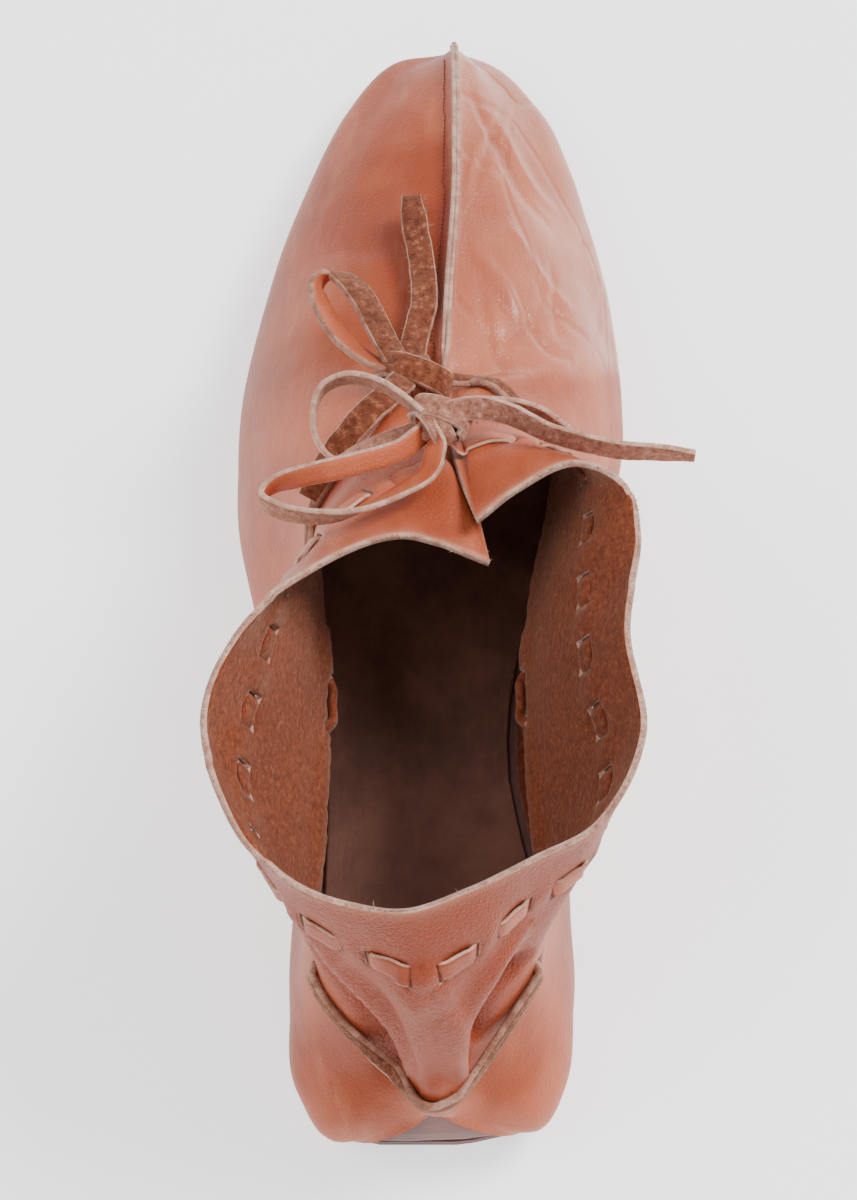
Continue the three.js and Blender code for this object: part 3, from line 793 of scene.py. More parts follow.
@dataclass(frozen=True)
class Strap:
    """A flat thong's section: two faces and two cut sides, slightly crowned."""

    width: float
    thickness: float
    across: int = 5
    round: float = 0.32 * MM

    def section(self) -> tuple[Array, list[int]]:
        """The section's points, as shares across and through.

        Returns:
            The points round it, and each face's zone: 0 upper, 1 lower, 2 side.
        """
        half, deep = self.width / 2, self.thickness / 2
        line = np.linspace(half - self.round, -half + self.round, self.across)
        upper = [(a, deep) for a in line]
        lower = [(a, -deep) for a in line[::-1]]
        left = [(-half, deep - self.round), (-half, -deep + self.round)]
        right = [(half, -deep + self.round), (half, deep - self.round)]
        points = np.array([*upper, *left, *lower, *right])
        zones = [0] * (self.across - 1) + [2] * 3 + [1] * (self.across - 1) + [2] * 3
        return points, zones

    def rings(
        self, places: Array, widthways: Array, seed: int = 1, worn: float = 0.1 * MM,
        narrow: Array | float = 1.0,
    ) -> Array:
        """Rings along a way.

        Args:
            places: the strap's centres.
            widthways: its width's direction at each.
            seed: sets how the hand-cut sides wander.
            worn: how far they wander.
            narrow: the share of its width that it has at each place.

        Returns:
            One ring for each place.
        """
        along = np.gradient(places, axis=0)
        along /= np.linalg.norm(along, axis=1)[:, None]
        wide = widthways - along * (widthways * along).sum(1)[:, None]
        wide /= np.linalg.norm(wide, axis=1)[:, None]
        through = np.cross(along, wide)
        points, _ = self.section()
        length = np.concatenate([[0], np.cumsum(np.linalg.norm(np.diff(places, axis=0), axis=1))])
        rings = np.zeros((len(places), len(points), 3))
        for k, (a, b) in enumerate(points):
            drift = np.array([noise.noise(Vector((s * 260, seed * 7.3, np.sign(a) * 2))) for s in length])
            reach = a + np.sign(a) * worn * drift if abs(a) > self.width * 0.35 else np.full(len(places), a)
            crown = b * (1 - 0.12 * (2 * a / self.width) ** 2)
            rings[:, k] = places + wide * (reach * narrow)[:, None] + through * crown
        return rings


# The upper


@dataclass(frozen=True)
class Crease:
    """A soft ridge or trough laid over the upper."""

    height: float
    width: float
    stops: tuple[tuple[float, float], ...]
    blunt: float = 0.0

    def relief(self, pattern: Pattern, places: Array) -> Array:
        """How far it lifts each place, out of the surface.

        Args:
            pattern: the shoe's surface.
            places: places by 3.

        Returns:
            One height for each place.
        """
        if len(self.stops) == 1:
            spine = np.array([pattern.surface(*self.stops[0])])
            shares = np.array([0.5])
        else:
            line = Spline([(u, v, 0) for u, v in self.stops])
            steps = np.linspace(0, line.count, 14 * line.count + 1)
            spine = np.array([pattern.surface(u, min(4.0, v)) for u, v, _ in line.at(steps)])
            shares = steps / line.count
        low, high = spine.min(0) - 4 * self.width, spine.max(0) + 4 * self.width
        near = np.flatnonzero(((places > low) & (places < high)).all(1))
        out = np.zeros(len(places))
        if len(near):
            gaps = np.linalg.norm(places[near, None] - spine[None], axis=2)
            nearest = gaps.argmin(1)
            share = shares[nearest]
            taper = np.sin(np.pi * np.clip(share, 0, 1)) ** 0.6
            taper = np.maximum(taper, self.blunt * ease(share * 4))
            out[near] = self.height * taper * np.exp(-((gaps.min(1) / self.width) ** 2))
        return out


@dataclass(frozen=True)
class Slit:
    """A slit through the wall where a thong passes."""

    u: float
    v: float
    half_u: float
    half_height: float


@dataclass
class Upper:
    """The upper: one soft sheet round the foot, closed by a raised seam over the vamp."""

    pattern: Pattern
    collar_slits: Sequence[Slit]
    ankle_slits: Sequence[Slit]
    seam_height: float = 3.2 * MM
    lip: float = 1.2 * MM
    cell: float = 1.6 * MM
    riser_reach: tuple[float, float] = (1.3, 1.55)
    riser_tip: float = 0.08
    riser_top: float = 1.82
    notch_lift: float = 0.9 * MM
    level_counts: tuple[int, int, int, int] = (12, 24, 28, 16)
    press_depth: float = 0.8 * MM
    press_reach: float = 4.5 * MM

    creases = (
        # the nose over the heel and the folds beside it
        Crease(4.4 * MM, 6 * MM, ((15.7, 3.1), (15.85, 2.7), (16.05, 2.35), (16.25, 2.0)), 1.0),
        Crease(-5.0 * MM, 4.5 * MM, ((13.2, 2.75), (14.12, 2.49), (14.65, 2.24), (14.95, 2.06)), 1.0),
        Crease(2.4 * MM, 4 * MM, ((13.7, 2.95), (14.48, 2.6), (15.1, 2.36), (15.45, 2.14)), 1.0),
        Crease(-3.0 * MM, 2.6 * MM, ((14.5, 2.8), (15.1, 2.5), (15.5, 2.32), (15.62, 2.16)), 0.8),
        Crease(-4.4 * MM, 3.6 * MM, ((18.5, 2.35), (17.8, 2.45), (17.35, 2.42), (17.2, 2.26)), 1.0),
        Crease(3.4 * MM, 3.4 * MM, ((18.2, 2.75), (17.5, 2.72), (17.05, 2.55), (16.85, 2.2)), 0.8),
        Crease(1.9 * MM, 2.6 * MM, ((16.6, 2.7), (16.56, 2.4), (16.5, 2.1)), 0.8),
        Crease(-2.9 * MM, 2.3 * MM, ((15.95, 2.95), (16.02, 2.6), (16.12, 2.36), (16.35, 2.26)), 0.4),
        # the heel's two corners
        Crease(2.6 * MM, 7 * MM, ((14.75, 0.2), (14.8, 1.4)), 1.0),
        Crease(2.6 * MM, 7 * MM, ((17.35, 0.2), (17.3, 1.4)), 1.0),
        # the toe, drawn forward to the seam
        Crease(1.0 * MM, 6 * MM, ((0.0, 0.8), (0.0, 1.8), (0.0, 3.2)), 1.0),
        # the medial vamp
        Crease(-1.3 * MM, 10 * MM, ((30.84, 3.22),)),
        Crease(-0.9 * MM, 2.2 * MM, ((31.9, 2.9), (31.2, 2.5), (30.6, 1.9))),
        Crease(0.8 * MM, 2.0 * MM, ((31.9, 2.7), (31.3, 2.2), (30.9, 1.7))),
        Crease(-0.8 * MM, 1.5 * MM, ((30.1, 3.5), (29.4, 3.35), (28.8, 3.0))),
        Crease(-0.7 * MM, 1.3 * MM, ((29.9, 2.9), (29.2, 2.5), (28.9, 2.1))),
        Crease(0.7 * MM, 1.5 * MM, ((30.7, 2.9), (30.1, 2.5), (29.6, 1.9))),
        Crease(1.8 * MM, 12 * MM, ((30.5, 2.2),)),
        Crease(0.6 * MM, 1.2 * MM, ((32.66, 1.48), (31.67, 3.07), (31.23, 3.67), (30.89, 3.8))),
        Crease(-0.6 * MM, 1.6 * MM, ((32.5, 1.6), (31.55, 3.0), (31.1, 3.6))),
        Crease(0.6 * MM, 1.1 * MM, ((32.86, 1.31), (32.9, 2.4), (32.91, 3.47))),
        Crease(-0.7 * MM, 1.5 * MM, ((32.23, 3.45), (31.74, 3.02), (31.5, 2.6))),
        Crease(-0.9 * MM, 1.7 * MM, ((30.4, 3.77), (29.87, 3.22), (29.7, 3.09), (29.5, 2.9))),
        Crease(0.7 * MM, 1.8 * MM, ((30.5, 3.7), (29.97, 3.15), (29.6, 2.8))),
        Crease(-0.8 * MM, 1.6 * MM, ((29.33, 3.22), (29.5, 2.64), (29.63, 2.19))),
        Crease(-0.7 * MM, 1.4 * MM, ((30.74, 1.01), (30.4, 1.66))),
        Crease(-0.6 * MM, 1.4 * MM, ((30.21, 2.21), (29.72, 2.26), (29.3, 2.3))),
        Crease(-0.8 * MM, 6 * MM, ((28.9, 1.2), (29.5, 1.5), (30.2, 1.4))),
        Crease(0.7 * MM, 7 * MM, ((28.4, 2.6), (29.1, 1.9), (30.0, 1.7))),
        # the lateral vamp, nearly smooth
        Crease(0.7 * MM, 12 * MM, ((3.6, 2.4), (4.6, 2.2))),
        Crease(-0.6 * MM, 9 * MM, ((5.3, 3.2), (4.4, 3.3), (3.4, 3.4))),
        # the flaps and the front of the collar
        Crease(1.8 * MM, 6 * MM, ((27.7, 3.9), (27.3, 3.4), (26.8, 2.9)), 1.0),
        Crease(-1.2 * MM, 4 * MM, ((26.9, 3.8), (26.6, 3.2), (26.2, 2.7)), 0.6),
        Crease(-1.0 * MM, 5 * MM, ((8.4, 3.9), (8.6, 3.3), (8.9, 2.6)), 0.5),
        # the ankle's crease
        Crease(-1.6 * MM, 5 * MM, ((9.2, 2.15), (10.8, 2.0), (13.0, 2.0)), 1.0),
        Crease(-1.6 * MM, 5 * MM, ((19.2, 2.0), (21.2, 2.0), (24.6, 2.1)), 1.0),
        # waves of the rim
        Crease(1.3 * MM, 8 * MM, ((12.2, 4.0), (12.2, 3.2))),
        Crease(-1.2 * MM, 8 * MM, ((13.2, 4.0), (13.1, 3.3))),
        Crease(1.0 * MM, 7 * MM, ((10.4, 4.0), (10.5, 3.2))),
        Crease(-1.0 * MM, 7 * MM, ((22.6, 4.0), (22.5, 3.1))),
        Crease(0.9 * MM, 6 * MM, ((21.6, 4.0), (21.6, 3.2))),
    )

    def __post_init__(self) -> None:
        """Works the surface out on its stations."""
        self.us, self.vs = self.section_stations(), self.level_stations()
        self.places = np.array([self.pattern.column(u, self.levels_at(u)) for u in self.us])
        self.outs = self.outwards(self.places)
        self.shape()

    def section_stations(self) -> Array:
        """The sections of the grid's columns, even in length, with one at each slit's sides.

        Returns:
            The sections, in order.
        """
        last, heel = self.pattern.last, self.pattern.heel
        fine = np.linspace(0, last, 1700)
        rows = np.array([self.pattern.column(u, np.array([1.5, 3.2])) for u in fine])
        steps = np.linalg.norm(np.diff(rows, axis=0), axis=2).mean(1)
        lengths = np.concatenate([[0], np.cumsum(steps)])
        cell = self.cell * 1.0
        us = np.interp(np.linspace(0, lengths[-1], int(lengths[-1] / cell)), lengths, fine)
        kept = [*map(float, self.pattern.breaks), float(heel)]
        for side, reach in zip((-1, 1), self.riser_reach):
            kept += [heel + side * reach, heel + side * reach * self.riser_tip]
        for slit in (*self.collar_slits, *self.ankle_slits):
            kept += [slit.u - slit.half_u, slit.u + slit.half_u]
        kept = np.array(sorted(kept))
        kept = kept[np.concatenate([[True], np.diff(kept) > 0.004])]
        span = np.gradient(us).mean() * 0.45
        base = [u for u in us if abs(kept - u).min() > span or u in (us[0], us[-1])]
        return np.array(sorted([*base, *kept]))

    def level_stations(self) -> Array:
        """The levels of the grid's rows."""
        parts = [np.linspace(k, k + 1, n + 1)[:-1] for k, n in enumerate(self.level_counts)]
        return np.concatenate([*parts, [4.0]])

    def levels_at(self, u: float) -> Array:
        """The rows' levels in one column, squeezed up over the heel riser.

        Args:
            u: the column's section.

        Returns:
            One level for each row.
        """
        heel, keep = self.pattern.heel, 2.7
        reach = self.riser_reach[0 if u < heel else 1]
        share = np.clip((1 - abs(u - heel) / reach) / (1 - self.riser_tip), 0, 1)
        low = self.riser_top * share
        return np.where(self.vs < keep, low + (keep - low) * self.vs / keep, self.vs)

    def outwards(self, places: Array) -> Array:
        """Unit normals of a grid of places, turned into the seam's plane beside the seam.

        Args:
            places: columns by rows by 3.

        Returns:
            One unit direction for each place.
        """
        n = np.cross(np.gradient(places, axis=0), np.gradient(places, axis=1))
        n /= np.maximum(np.linalg.norm(n, axis=2), 1e-12)[..., None]
        vamp = np.array([self.pattern.on_vamp(u) for u in self.us])
        seam = self.pattern.top.at(self.us)[:, 0]
        self.to_seam = np.where(vamp[:, None], abs(places[..., 0] - seam[:, None]), 1.0)
        n[..., 0] *= np.clip(self.to_seam / SEAM_TURN, 0, 1)
        n /= np.maximum(np.linalg.norm(n, axis=2), 1e-12)[..., None]
        return n

    def shape(self) -> None:
        """Lays the creases, the slack of the hide and the rise to the seam over the surface."""
        n, m = self.places.shape[:2]
        flat = self.places.reshape(-1, 3)
        relief = sum(c.relief(self.pattern, flat) for c in self.creases)
        slack = np.array([noise.fractal(Vector(p * 26), 1.0, 2.0, 3) for p in flat])
        fine = np.array([noise.noise(Vector((p[0] * 95, p[1] * 60, p[2] * 95))) for p in flat])
        u = np.repeat(self.us, m)
        inner_vamp = ease((u - 27.5) / 1.5)
        collar = ease(np.minimum(u - 8, 26 - u) / 2)
        relief = relief + slack * (0.25 + 0.35 * inner_vamp + 0.45 * collar) * MM
        relief = relief + fine * (0.05 + 0.16 * inner_vamp) * MM
        low = np.tile(self.vs, n)
        relief = relief * ease(low / 0.5)
        notch = ease((1.45 - abs(u - self.pattern.heel)) / 0.5)
        relief = relief + self.notch_lift * notch * np.exp(-low / 0.3)
        self.relief = relief.reshape(n, m)
        self.press_thongs()
        self.places = self.places + self.outs * self.relief[..., None]
        vamp = np.array([self.pattern.on_vamp(u) for u in self.us])
        side = np.where(self.us < self.pattern.heel, -1.0, 1.0)
        fade = self.seam_fade()
        close = np.exp(-self.to_seam / (2.6 * MM)) * fade * vamp[:, None]
        seam = self.pattern.top.at(self.us)[:, 0]
        aside = seam[:, None] + side[:, None] * np.maximum(self.to_seam, 0)
        aside = aside + side[:, None] * (self.lip - 0.15 * MM) * close
        weight = np.clip(close * 3, 0, 1)
        self.places[..., 0] = mix(self.places[..., 0], aside, np.where(vamp[:, None], weight, 0))
        self.places = self.places + self.outs * (0.9 * MM * close)[..., None]
        outs = self.outwards(self.places)
        self.outs = np.where(vamp[:, None, None] & (self.to_seam < 3 * MM)[..., None], self.outs, outs)

    def seam_fade(self) -> Array:
        """The seam's share of its height, over the grid.

        Returns:
            One share for each place.
        """
        along = np.minimum(self.us, self.pattern.last - self.us)
        throat = ease((self.pattern.outer_throat - along) / 0.3)
        toe = mix(0.5, 1.0, ease(along / 0.9))
        down = np.where((along < 0.6)[:, None], ease((self.vs - 0.15) / 1.0)[None], 1.0)
        return down * (toe * throat)[:, None]

    def press_thongs(self) -> None:
        """Presses the wall in and out between the slits, as the thongs pull it."""
        for slits in (self.collar_slits, self.ankle_slits):
            marks = np.array([s.u for s in slits])
            levels = np.array([s.v for s in slits])
            for i, u in enumerate(self.us):
                if u < marks[0] - 0.4 or u > marks[-1] + 0.4:
                    continue
                k = int(np.searchsorted(marks, u))
                a, b = marks[max(0, k - 1)], marks[min(len(marks) - 1, k)]
                share = 0.5 if b <= a else (u - a) / (b - a)
                outside = k % 2 == 0
                swing = math.sin(math.pi * share) * (-1 if outside else 1)
                row = np.interp(u, marks, levels)
                level = self.levels_at(u)
                rows = self.places[i]
                centre = np.array([np.interp(row, level, rows[:, c]) for c in range(3)])
                gap = np.linalg.norm(rows - centre, axis=1)
                self.relief[i] += self.press_depth * swing * np.exp(-((gap / self.press_reach) ** 2))

    def at(self, u: float, v: float) -> tuple[Array, Array]:
        """The finished outer surface at a section and level.

        Args:
            u: the section.
            v: the level.

        Returns:
            The place, and the outward direction there.
        """
        i = int(np.clip(np.searchsorted(self.us, u) - 1, 0, len(self.us) - 2))
        s = (u - self.us[i]) / (self.us[i + 1] - self.us[i])
        both = []
        for grid in (self.places, self.outs):
            ends = []
            for c in (i, i + 1):
                level = self.levels_at(self.us[c])
                ends.append(np.array([np.interp(v, level, grid[c, :, k]) for k in range(3)]))
            both.append(mix(ends[0], ends[1], s))
        return both[0], both[1] / np.linalg.norm(both[1])

    def rim(self) -> tuple[Array, Array]:
        """The free top edge of collar and flaps.

        Returns:
            Places along it, and the way that loose fibres stand there.
        """
        free = [i for i, u in enumerate(self.us) if not self.pattern.on_vamp(u)]
        tops = self.places[free, -1] - self.outs[free, -1] * self.pattern.wall / 2
        ups = self.places[free, -1] - self.places[free, -3]
        ups /= np.linalg.norm(ups, axis=1)[:, None]
        return tops, ups + 0.5 * self.outs[free, -1]

    def flanged(self) -> tuple[Array, Array, Array]:
        """The grid with the seam's standing lips added.

        Returns:
            The places, the wall's share of its thickness, and the vertex colours: worn edge, gloss with its
            painted light, and painted shade.
        """
        n, m = self.places.shape[:2]
        rises = np.array([1.1, 2.2, 3.2]) / 3.2 * self.seam_height
        k = len(rises)
        fade = self.seam_fade()
        grid = np.zeros((n + 2 * k, m + k, 3))
        grid[k : n + k, :m] = self.places
        side = np.where(self.us < self.pattern.heel, -1.0, 1.0)
        for i in range(n):
            up = self.outs[i, -1] * np.array([0, 1, 1])
            up /= np.linalg.norm(up)
            wave = noise.noise(Vector((self.places[i, -1, 1] * 45, 3.1, 0)))
            wave += 0.5 * noise.noise(Vector((self.places[i, -1, 1] * 160, side[i] * 2, 1)))
            settle = ease(min(self.us[i], self.pattern.last - self.us[i]) / 0.3)
            wave *= settle
            aside = noise.noise(Vector((self.places[i, -1, 1] * 38, 9, 0)))
            lean = np.array([0.5 * MM * settle * aside, 0, 0])
            for j, rise in enumerate(rises):
                share = rise / self.seam_height
                reach = rise + 0.35 * MM * wave * share
                grid[i + k, m + j] = self.places[i, -1] + (up * reach + lean * share**2) * fade[i, -1]
        for end, row in ((0, 0), (n - 1, n - 1)):
            for j in range(m):
                up = self.outs[row, j] * np.array([0, 1, 1])
                up /= np.linalg.norm(up)
                for c, rise in enumerate(rises):
                    column = k - 1 - c if end == 0 else n + k + c
                    grid[column, j] = self.places[row, j] + up * rise * fade[row, j]
        for c in range(k):
            grid[k - 1 - c, m:] = grid[k - 1 - c, m - 1]
            grid[n + k + c, m:] = grid[n + k + c, m - 1]
        wall = np.ones(grid.shape[:2])
        near = 0.7 + 0.3 * ease(self.to_seam / (5 * MM))
        wall[k : n + k, :m] = near
        vamp = np.array([self.pattern.on_vamp(u) for u in self.us])
        wall[k : n + k, m:] = np.where(vamp, 0.7, 1.0)[:, None]
        wall[:k], wall[n + k :] = 0.7, 0.7
        return grid, wall, self.worn_edge_and_painted_light(grid.shape[:2], k)

    def worn_edge_and_painted_light(self, shape: tuple[int, int], k: int) -> Array:
        """Worn edge, gloss with its painted light, and painted shade in the creases with the shaft's darker
        tone, for each place of the flanged grid.

        Args:
            shape: the flanged grid's columns and rows.
            k: the lips' rows on each side.

        Returns:
            Four channels for each place.
        """
        n, m = self.places.shape[:2]
        steps = np.linalg.norm(np.diff(self.places, axis=1), axis=2)
        down = np.concatenate([np.cumsum(steps[:, ::-1], axis=1)[:, ::-1], np.zeros((n, 1))], axis=1)
        vamp = np.array([self.pattern.on_vamp(u) for u in self.us])
        edge = np.exp(-down / (1.3 * MM)) * np.where(vamp, 0.0, 0.8)[:, None]
        # The medial vamp: real gloss, and painted light where the grain finish paints it paler.
        gloss_and_painted_light = ease((self.us - 27) / 2)[:, None] * np.ones((1, m))
        shaft = ease((self.vs - 2.0) / 0.4)[None] * ease(np.minimum(self.us - 9, 25 - self.us) / 3)[:, None]
        # Painted shade in the creases' troughs, added to the shaft's darker tone.
        crease = np.clip(-self.relief / (2.5 * MM), 0, 1)
        painted_shade_and_tone = np.clip(0.85 * shaft + 0.6 * crease, 0, 1)
        out = np.zeros((*shape, 4))
        out[..., 3] = 1
        for channel, values in enumerate((edge, gloss_and_painted_light, painted_shade_and_tone)):
            out[k : n + k, :m, channel] = values
            out[k : n + k, m:, channel] = values[:, -1:]
            out[:k, :m, channel] = values[0]
            out[n + k :, :m, channel] = values[-1]
        return out

    def build(self, finishes: Sequence[bpy.types.Material]) -> bpy.types.Object:
        """Makes the upper.

        Args:
            finishes: grain, suede and cut edge.

        Returns:
            The piece.
        """
        grid, wall, worn_edge_and_painted_light = self.flanged()
        k = (grid.shape[0] - len(self.us)) // 2
        m = len(self.vs)
        bm = bmesh.new()
        layer = bm.verts.layers.float_color.new("worn_edge_and_painted_light")
        deform = bm.verts.layers.deform.verify()
        verts = lay_sheet(bm, grid)
        flat_wall = wall.transpose(1, 0).reshape(-1)
        flat_worn_edge_and_painted_light = worn_edge_and_painted_light.transpose(1, 0, 2).reshape(-1, 4)
        # Each vertex takes its worn edge, its gloss with painted light, and its painted shade as one colour.
        for vert, thick, painted_shade_and_tone in zip(verts, flat_wall, flat_worn_edge_and_painted_light):
            vert[layer] = painted_shade_and_tone
            vert[deform][0] = float(thick)
        gone = []
        bm.faces.ensure_lookup_table()
        wide = grid.shape[0] - 1
        for face in bm.faces:
            column, row = face.index % wide - k, face.index // wide
            face.smooth = True
            beyond = row >= m - 1
            if column < 0 or column >= len(self.us) - 1:
                if beyond:
                    gone.append(face)
                continue
            u = (self.us[column] + self.us[column + 1]) / 2
            if beyond:
                if not self.pattern.on_vamp(u):
                    gone.append(face)
                continue
            if self.in_slit(u, column, row):
                gone.append(face)
        bmesh.ops.delete(bm, geom=gone, context="FACES")
        bmesh.ops.remove_doubles(bm, verts=bm.verts[:], dist=1e-6)
        piece = make_piece(bm, "upper_leather", finishes, ["upper"])
        piece.vertex_groups.new(name="wall")
        solid = piece.modifiers.new("wall", "SOLIDIFY")
        solid.thickness = self.pattern.wall
        solid.offset = -1
        solid.vertex_group = "wall"
        solid.material_offset, solid.material_offset_rim = 1, 2
        return piece

    def in_slit(self, u: float, column: int, row: int) -> bool:
        """Whether a face of the grid lies in a slit.

        Args:
            u: the face's middle section.
            column: the face's column.
            row: the face's row.

        Returns:
            True in a slit.
        """
        for slit in (*self.collar_slits, *self.ankle_slits):
            if abs(slit.u - u) < slit.half_u:
                level = self.levels_at(self.us[column])
                centre = np.array([np.interp(slit.v, level, self.places[column, :, c]) for c in range(3)])
                mid = (self.places[column, row] + self.places[column, row + 1]) / 2
                if np.linalg.norm(mid - centre) < slit.half_height:
                    return True
        return False


# Thongs


@dataclass
class WovenThong:
    """A thong that goes in and out through the wall's slits."""

    name: str
    node: str
    route: Route
    strap: Strap
    marks: Sequence[float]
    crossing: float = 2.4 * MM
    standoff: float = 0.15 * MM
    lead_in: tuple = ()
    lead_out: tuple = ()
    slack: float = 2.2 * MM
    play: float = 0.4 * MM
    spacing: float = 0.6 * MM
    pulls: int = 1500

    def slits(self) -> list[Slit]:
        """The slits that it needs.

        Returns:
            One slit for each mark.
        """
        out = []
        for mark in self.marks:
            u, v = self.route.at(mark)
            before, after = self.route.at(mark - MM)[0], self.route.at(mark + MM)[0]
            rate = (after - before) / (2 * MM)
            half_u, half_height = float(rate) * self.crossing * 0.5, self.strap.width / 2 + self.play
            out.append(Slit(float(u), float(v), half_u, half_height))
        return out

    def depth(self, d: float, wall: float) -> float:
        """How far out of the surface the thong's middle lies, at a length.

        Args:
            d: the length along the route.
            wall: the wall's thickness.

        Returns:
            The distance, negative inside.
        """
        out = self.standoff + self.strap.thickness / 2
        inside = -(wall + out)
        k = int(np.searchsorted(self.marks, d))
        here = out if k % 2 == 0 else inside
        other = inside if k % 2 == 0 else out
        gap = min((abs(m - d) for m in self.marks), default=1.0)
        return mix(other, here, 0.5 + 0.5 * float(ease(gap / (self.crossing / 2))))

    def build(self, upper: Upper, finishes: Sequence[bpy.types.Material]) -> bpy.types.Object:
        """Makes the thong.

        Args:
            upper: the upper that it is laced through.
            finishes: outer face, inner face and cut side.

        Returns:
            The piece.
        """
        lengths = np.linspace(0, self.route.total, int(self.route.total / self.spacing))
        places, ups, outs = [], [], []
        for d in lengths:
            u, v = self.route.at(d)
            place, out = upper.at(u, v)
            over, _ = upper.at(u, min(3.98, v + 0.08))
            under, _ = upper.at(u, v - 0.08)
            places.append(place + out * self.depth(d, upper.pattern.wall))
            ups.append((over - under) / np.linalg.norm(over - under))
            outs.append(out)
        places = self.drawn_taut(np.array(places), np.array(outs), lengths)
        inside = np.searchsorted(np.array(self.marks), lengths) % 2 == 1
        led = len(places)
        places, ups = self.with_leads(places, np.array(ups))
        self.lined = np.zeros(len(places), bool)
        start = self.lead_count(True)
        self.lined[start : start + led] = inside
        _, zones = self.strap.section()
        bm = bmesh.new()
        lay_tube(bm, self.strap.rings(places, ups, len(self.marks)), zones, self.lined)
        self.centres, self.ups = places, ups
        return make_piece(bm, self.name, finishes, [self.node])

    def fray(self, fibres: "Fibres", count: int) -> None:
        """Grows fibres along both sides of its outside runs.

        Args:
            fibres: the mesh that takes them.
            count: how many on each side.
        """
        seen = np.flatnonzero(~self.lined)
        for way in (-1, 1):
            edge = self.centres + self.ups * way * self.strap.width * 0.46
            fibres.grow(edge[seen], self.ups[seen] * way, count)

    def drawn_taut(self, places: Array, outs: Array, lengths: Array) -> Array:
        """Draws the outside runs taut over the hollows, and rounds the turns a little.

        Args:
            places: the thong's centres on the leather.
            outs: outward directions there.
            lengths: how far along each is.

        Returns:
            The drawn centres.
        """
        marks = np.array(self.marks)
        runs = np.searchsorted(marks, lengths) % 2 == 0
        gaps = abs(lengths[:, None] - marks[None]).min(1)
        free = runs & (gaps > self.crossing)
        free[[0, -1]] = False
        inner = free[1:-1]
        base = places.copy()
        for _ in range(self.pulls):
            middle = (places[:-2] + places[2:]) / 2
            places[1:-1][inner] = middle[inner]
            lift = ((places - base) * outs).sum(1)
            low = free & (lift < 0)
            places[low] -= outs[low] * lift[low, None]
            high = free & (lift > self.slack)
            places[high] -= outs[high] * (lift[high, None] - self.slack)
        for _ in range(2):
            places[1:-1] = (places[:-2] + 2 * places[1:-1] + places[2:]) / 4
        return places

    def lead_count(self, first: bool) -> int:
        """How many places the lead at one end adds."""
        points = self.lead_in if first else self.lead_out
        return 20 * len(points) - 1 if points else 0

    def with_leads(self, places: Array, ups: Array) -> tuple[Array, Array]:
        """Adds the runs between the knot and the first and last places.

        Args:
            places: the thong's centres.
            ups: its width's direction at each.

        Returns:
            Both, with the leads.
        """
        for points, first in ((self.lead_in, True), (self.lead_out, False)):
            if not points:
                continue
            own = np.array(points) * MM
            anchor = [places[0], places[8]] if first else [places[-9], places[-1]]
            line = Spline([*own, *anchor] if first else [*anchor, *own])
            count = 20 * len(points)
            start = 0 if first else 1
            steps = np.linspace(start, start + len(points), count)
            run = line.at(steps[:-1] if first else steps[1:])
            up = np.tile(ups[0 if first else -1], (len(run), 1))
            places = np.concatenate([run, places] if first else [places, run])
            ups = np.concatenate([up, ups] if first else [ups, up])
        return places, ups


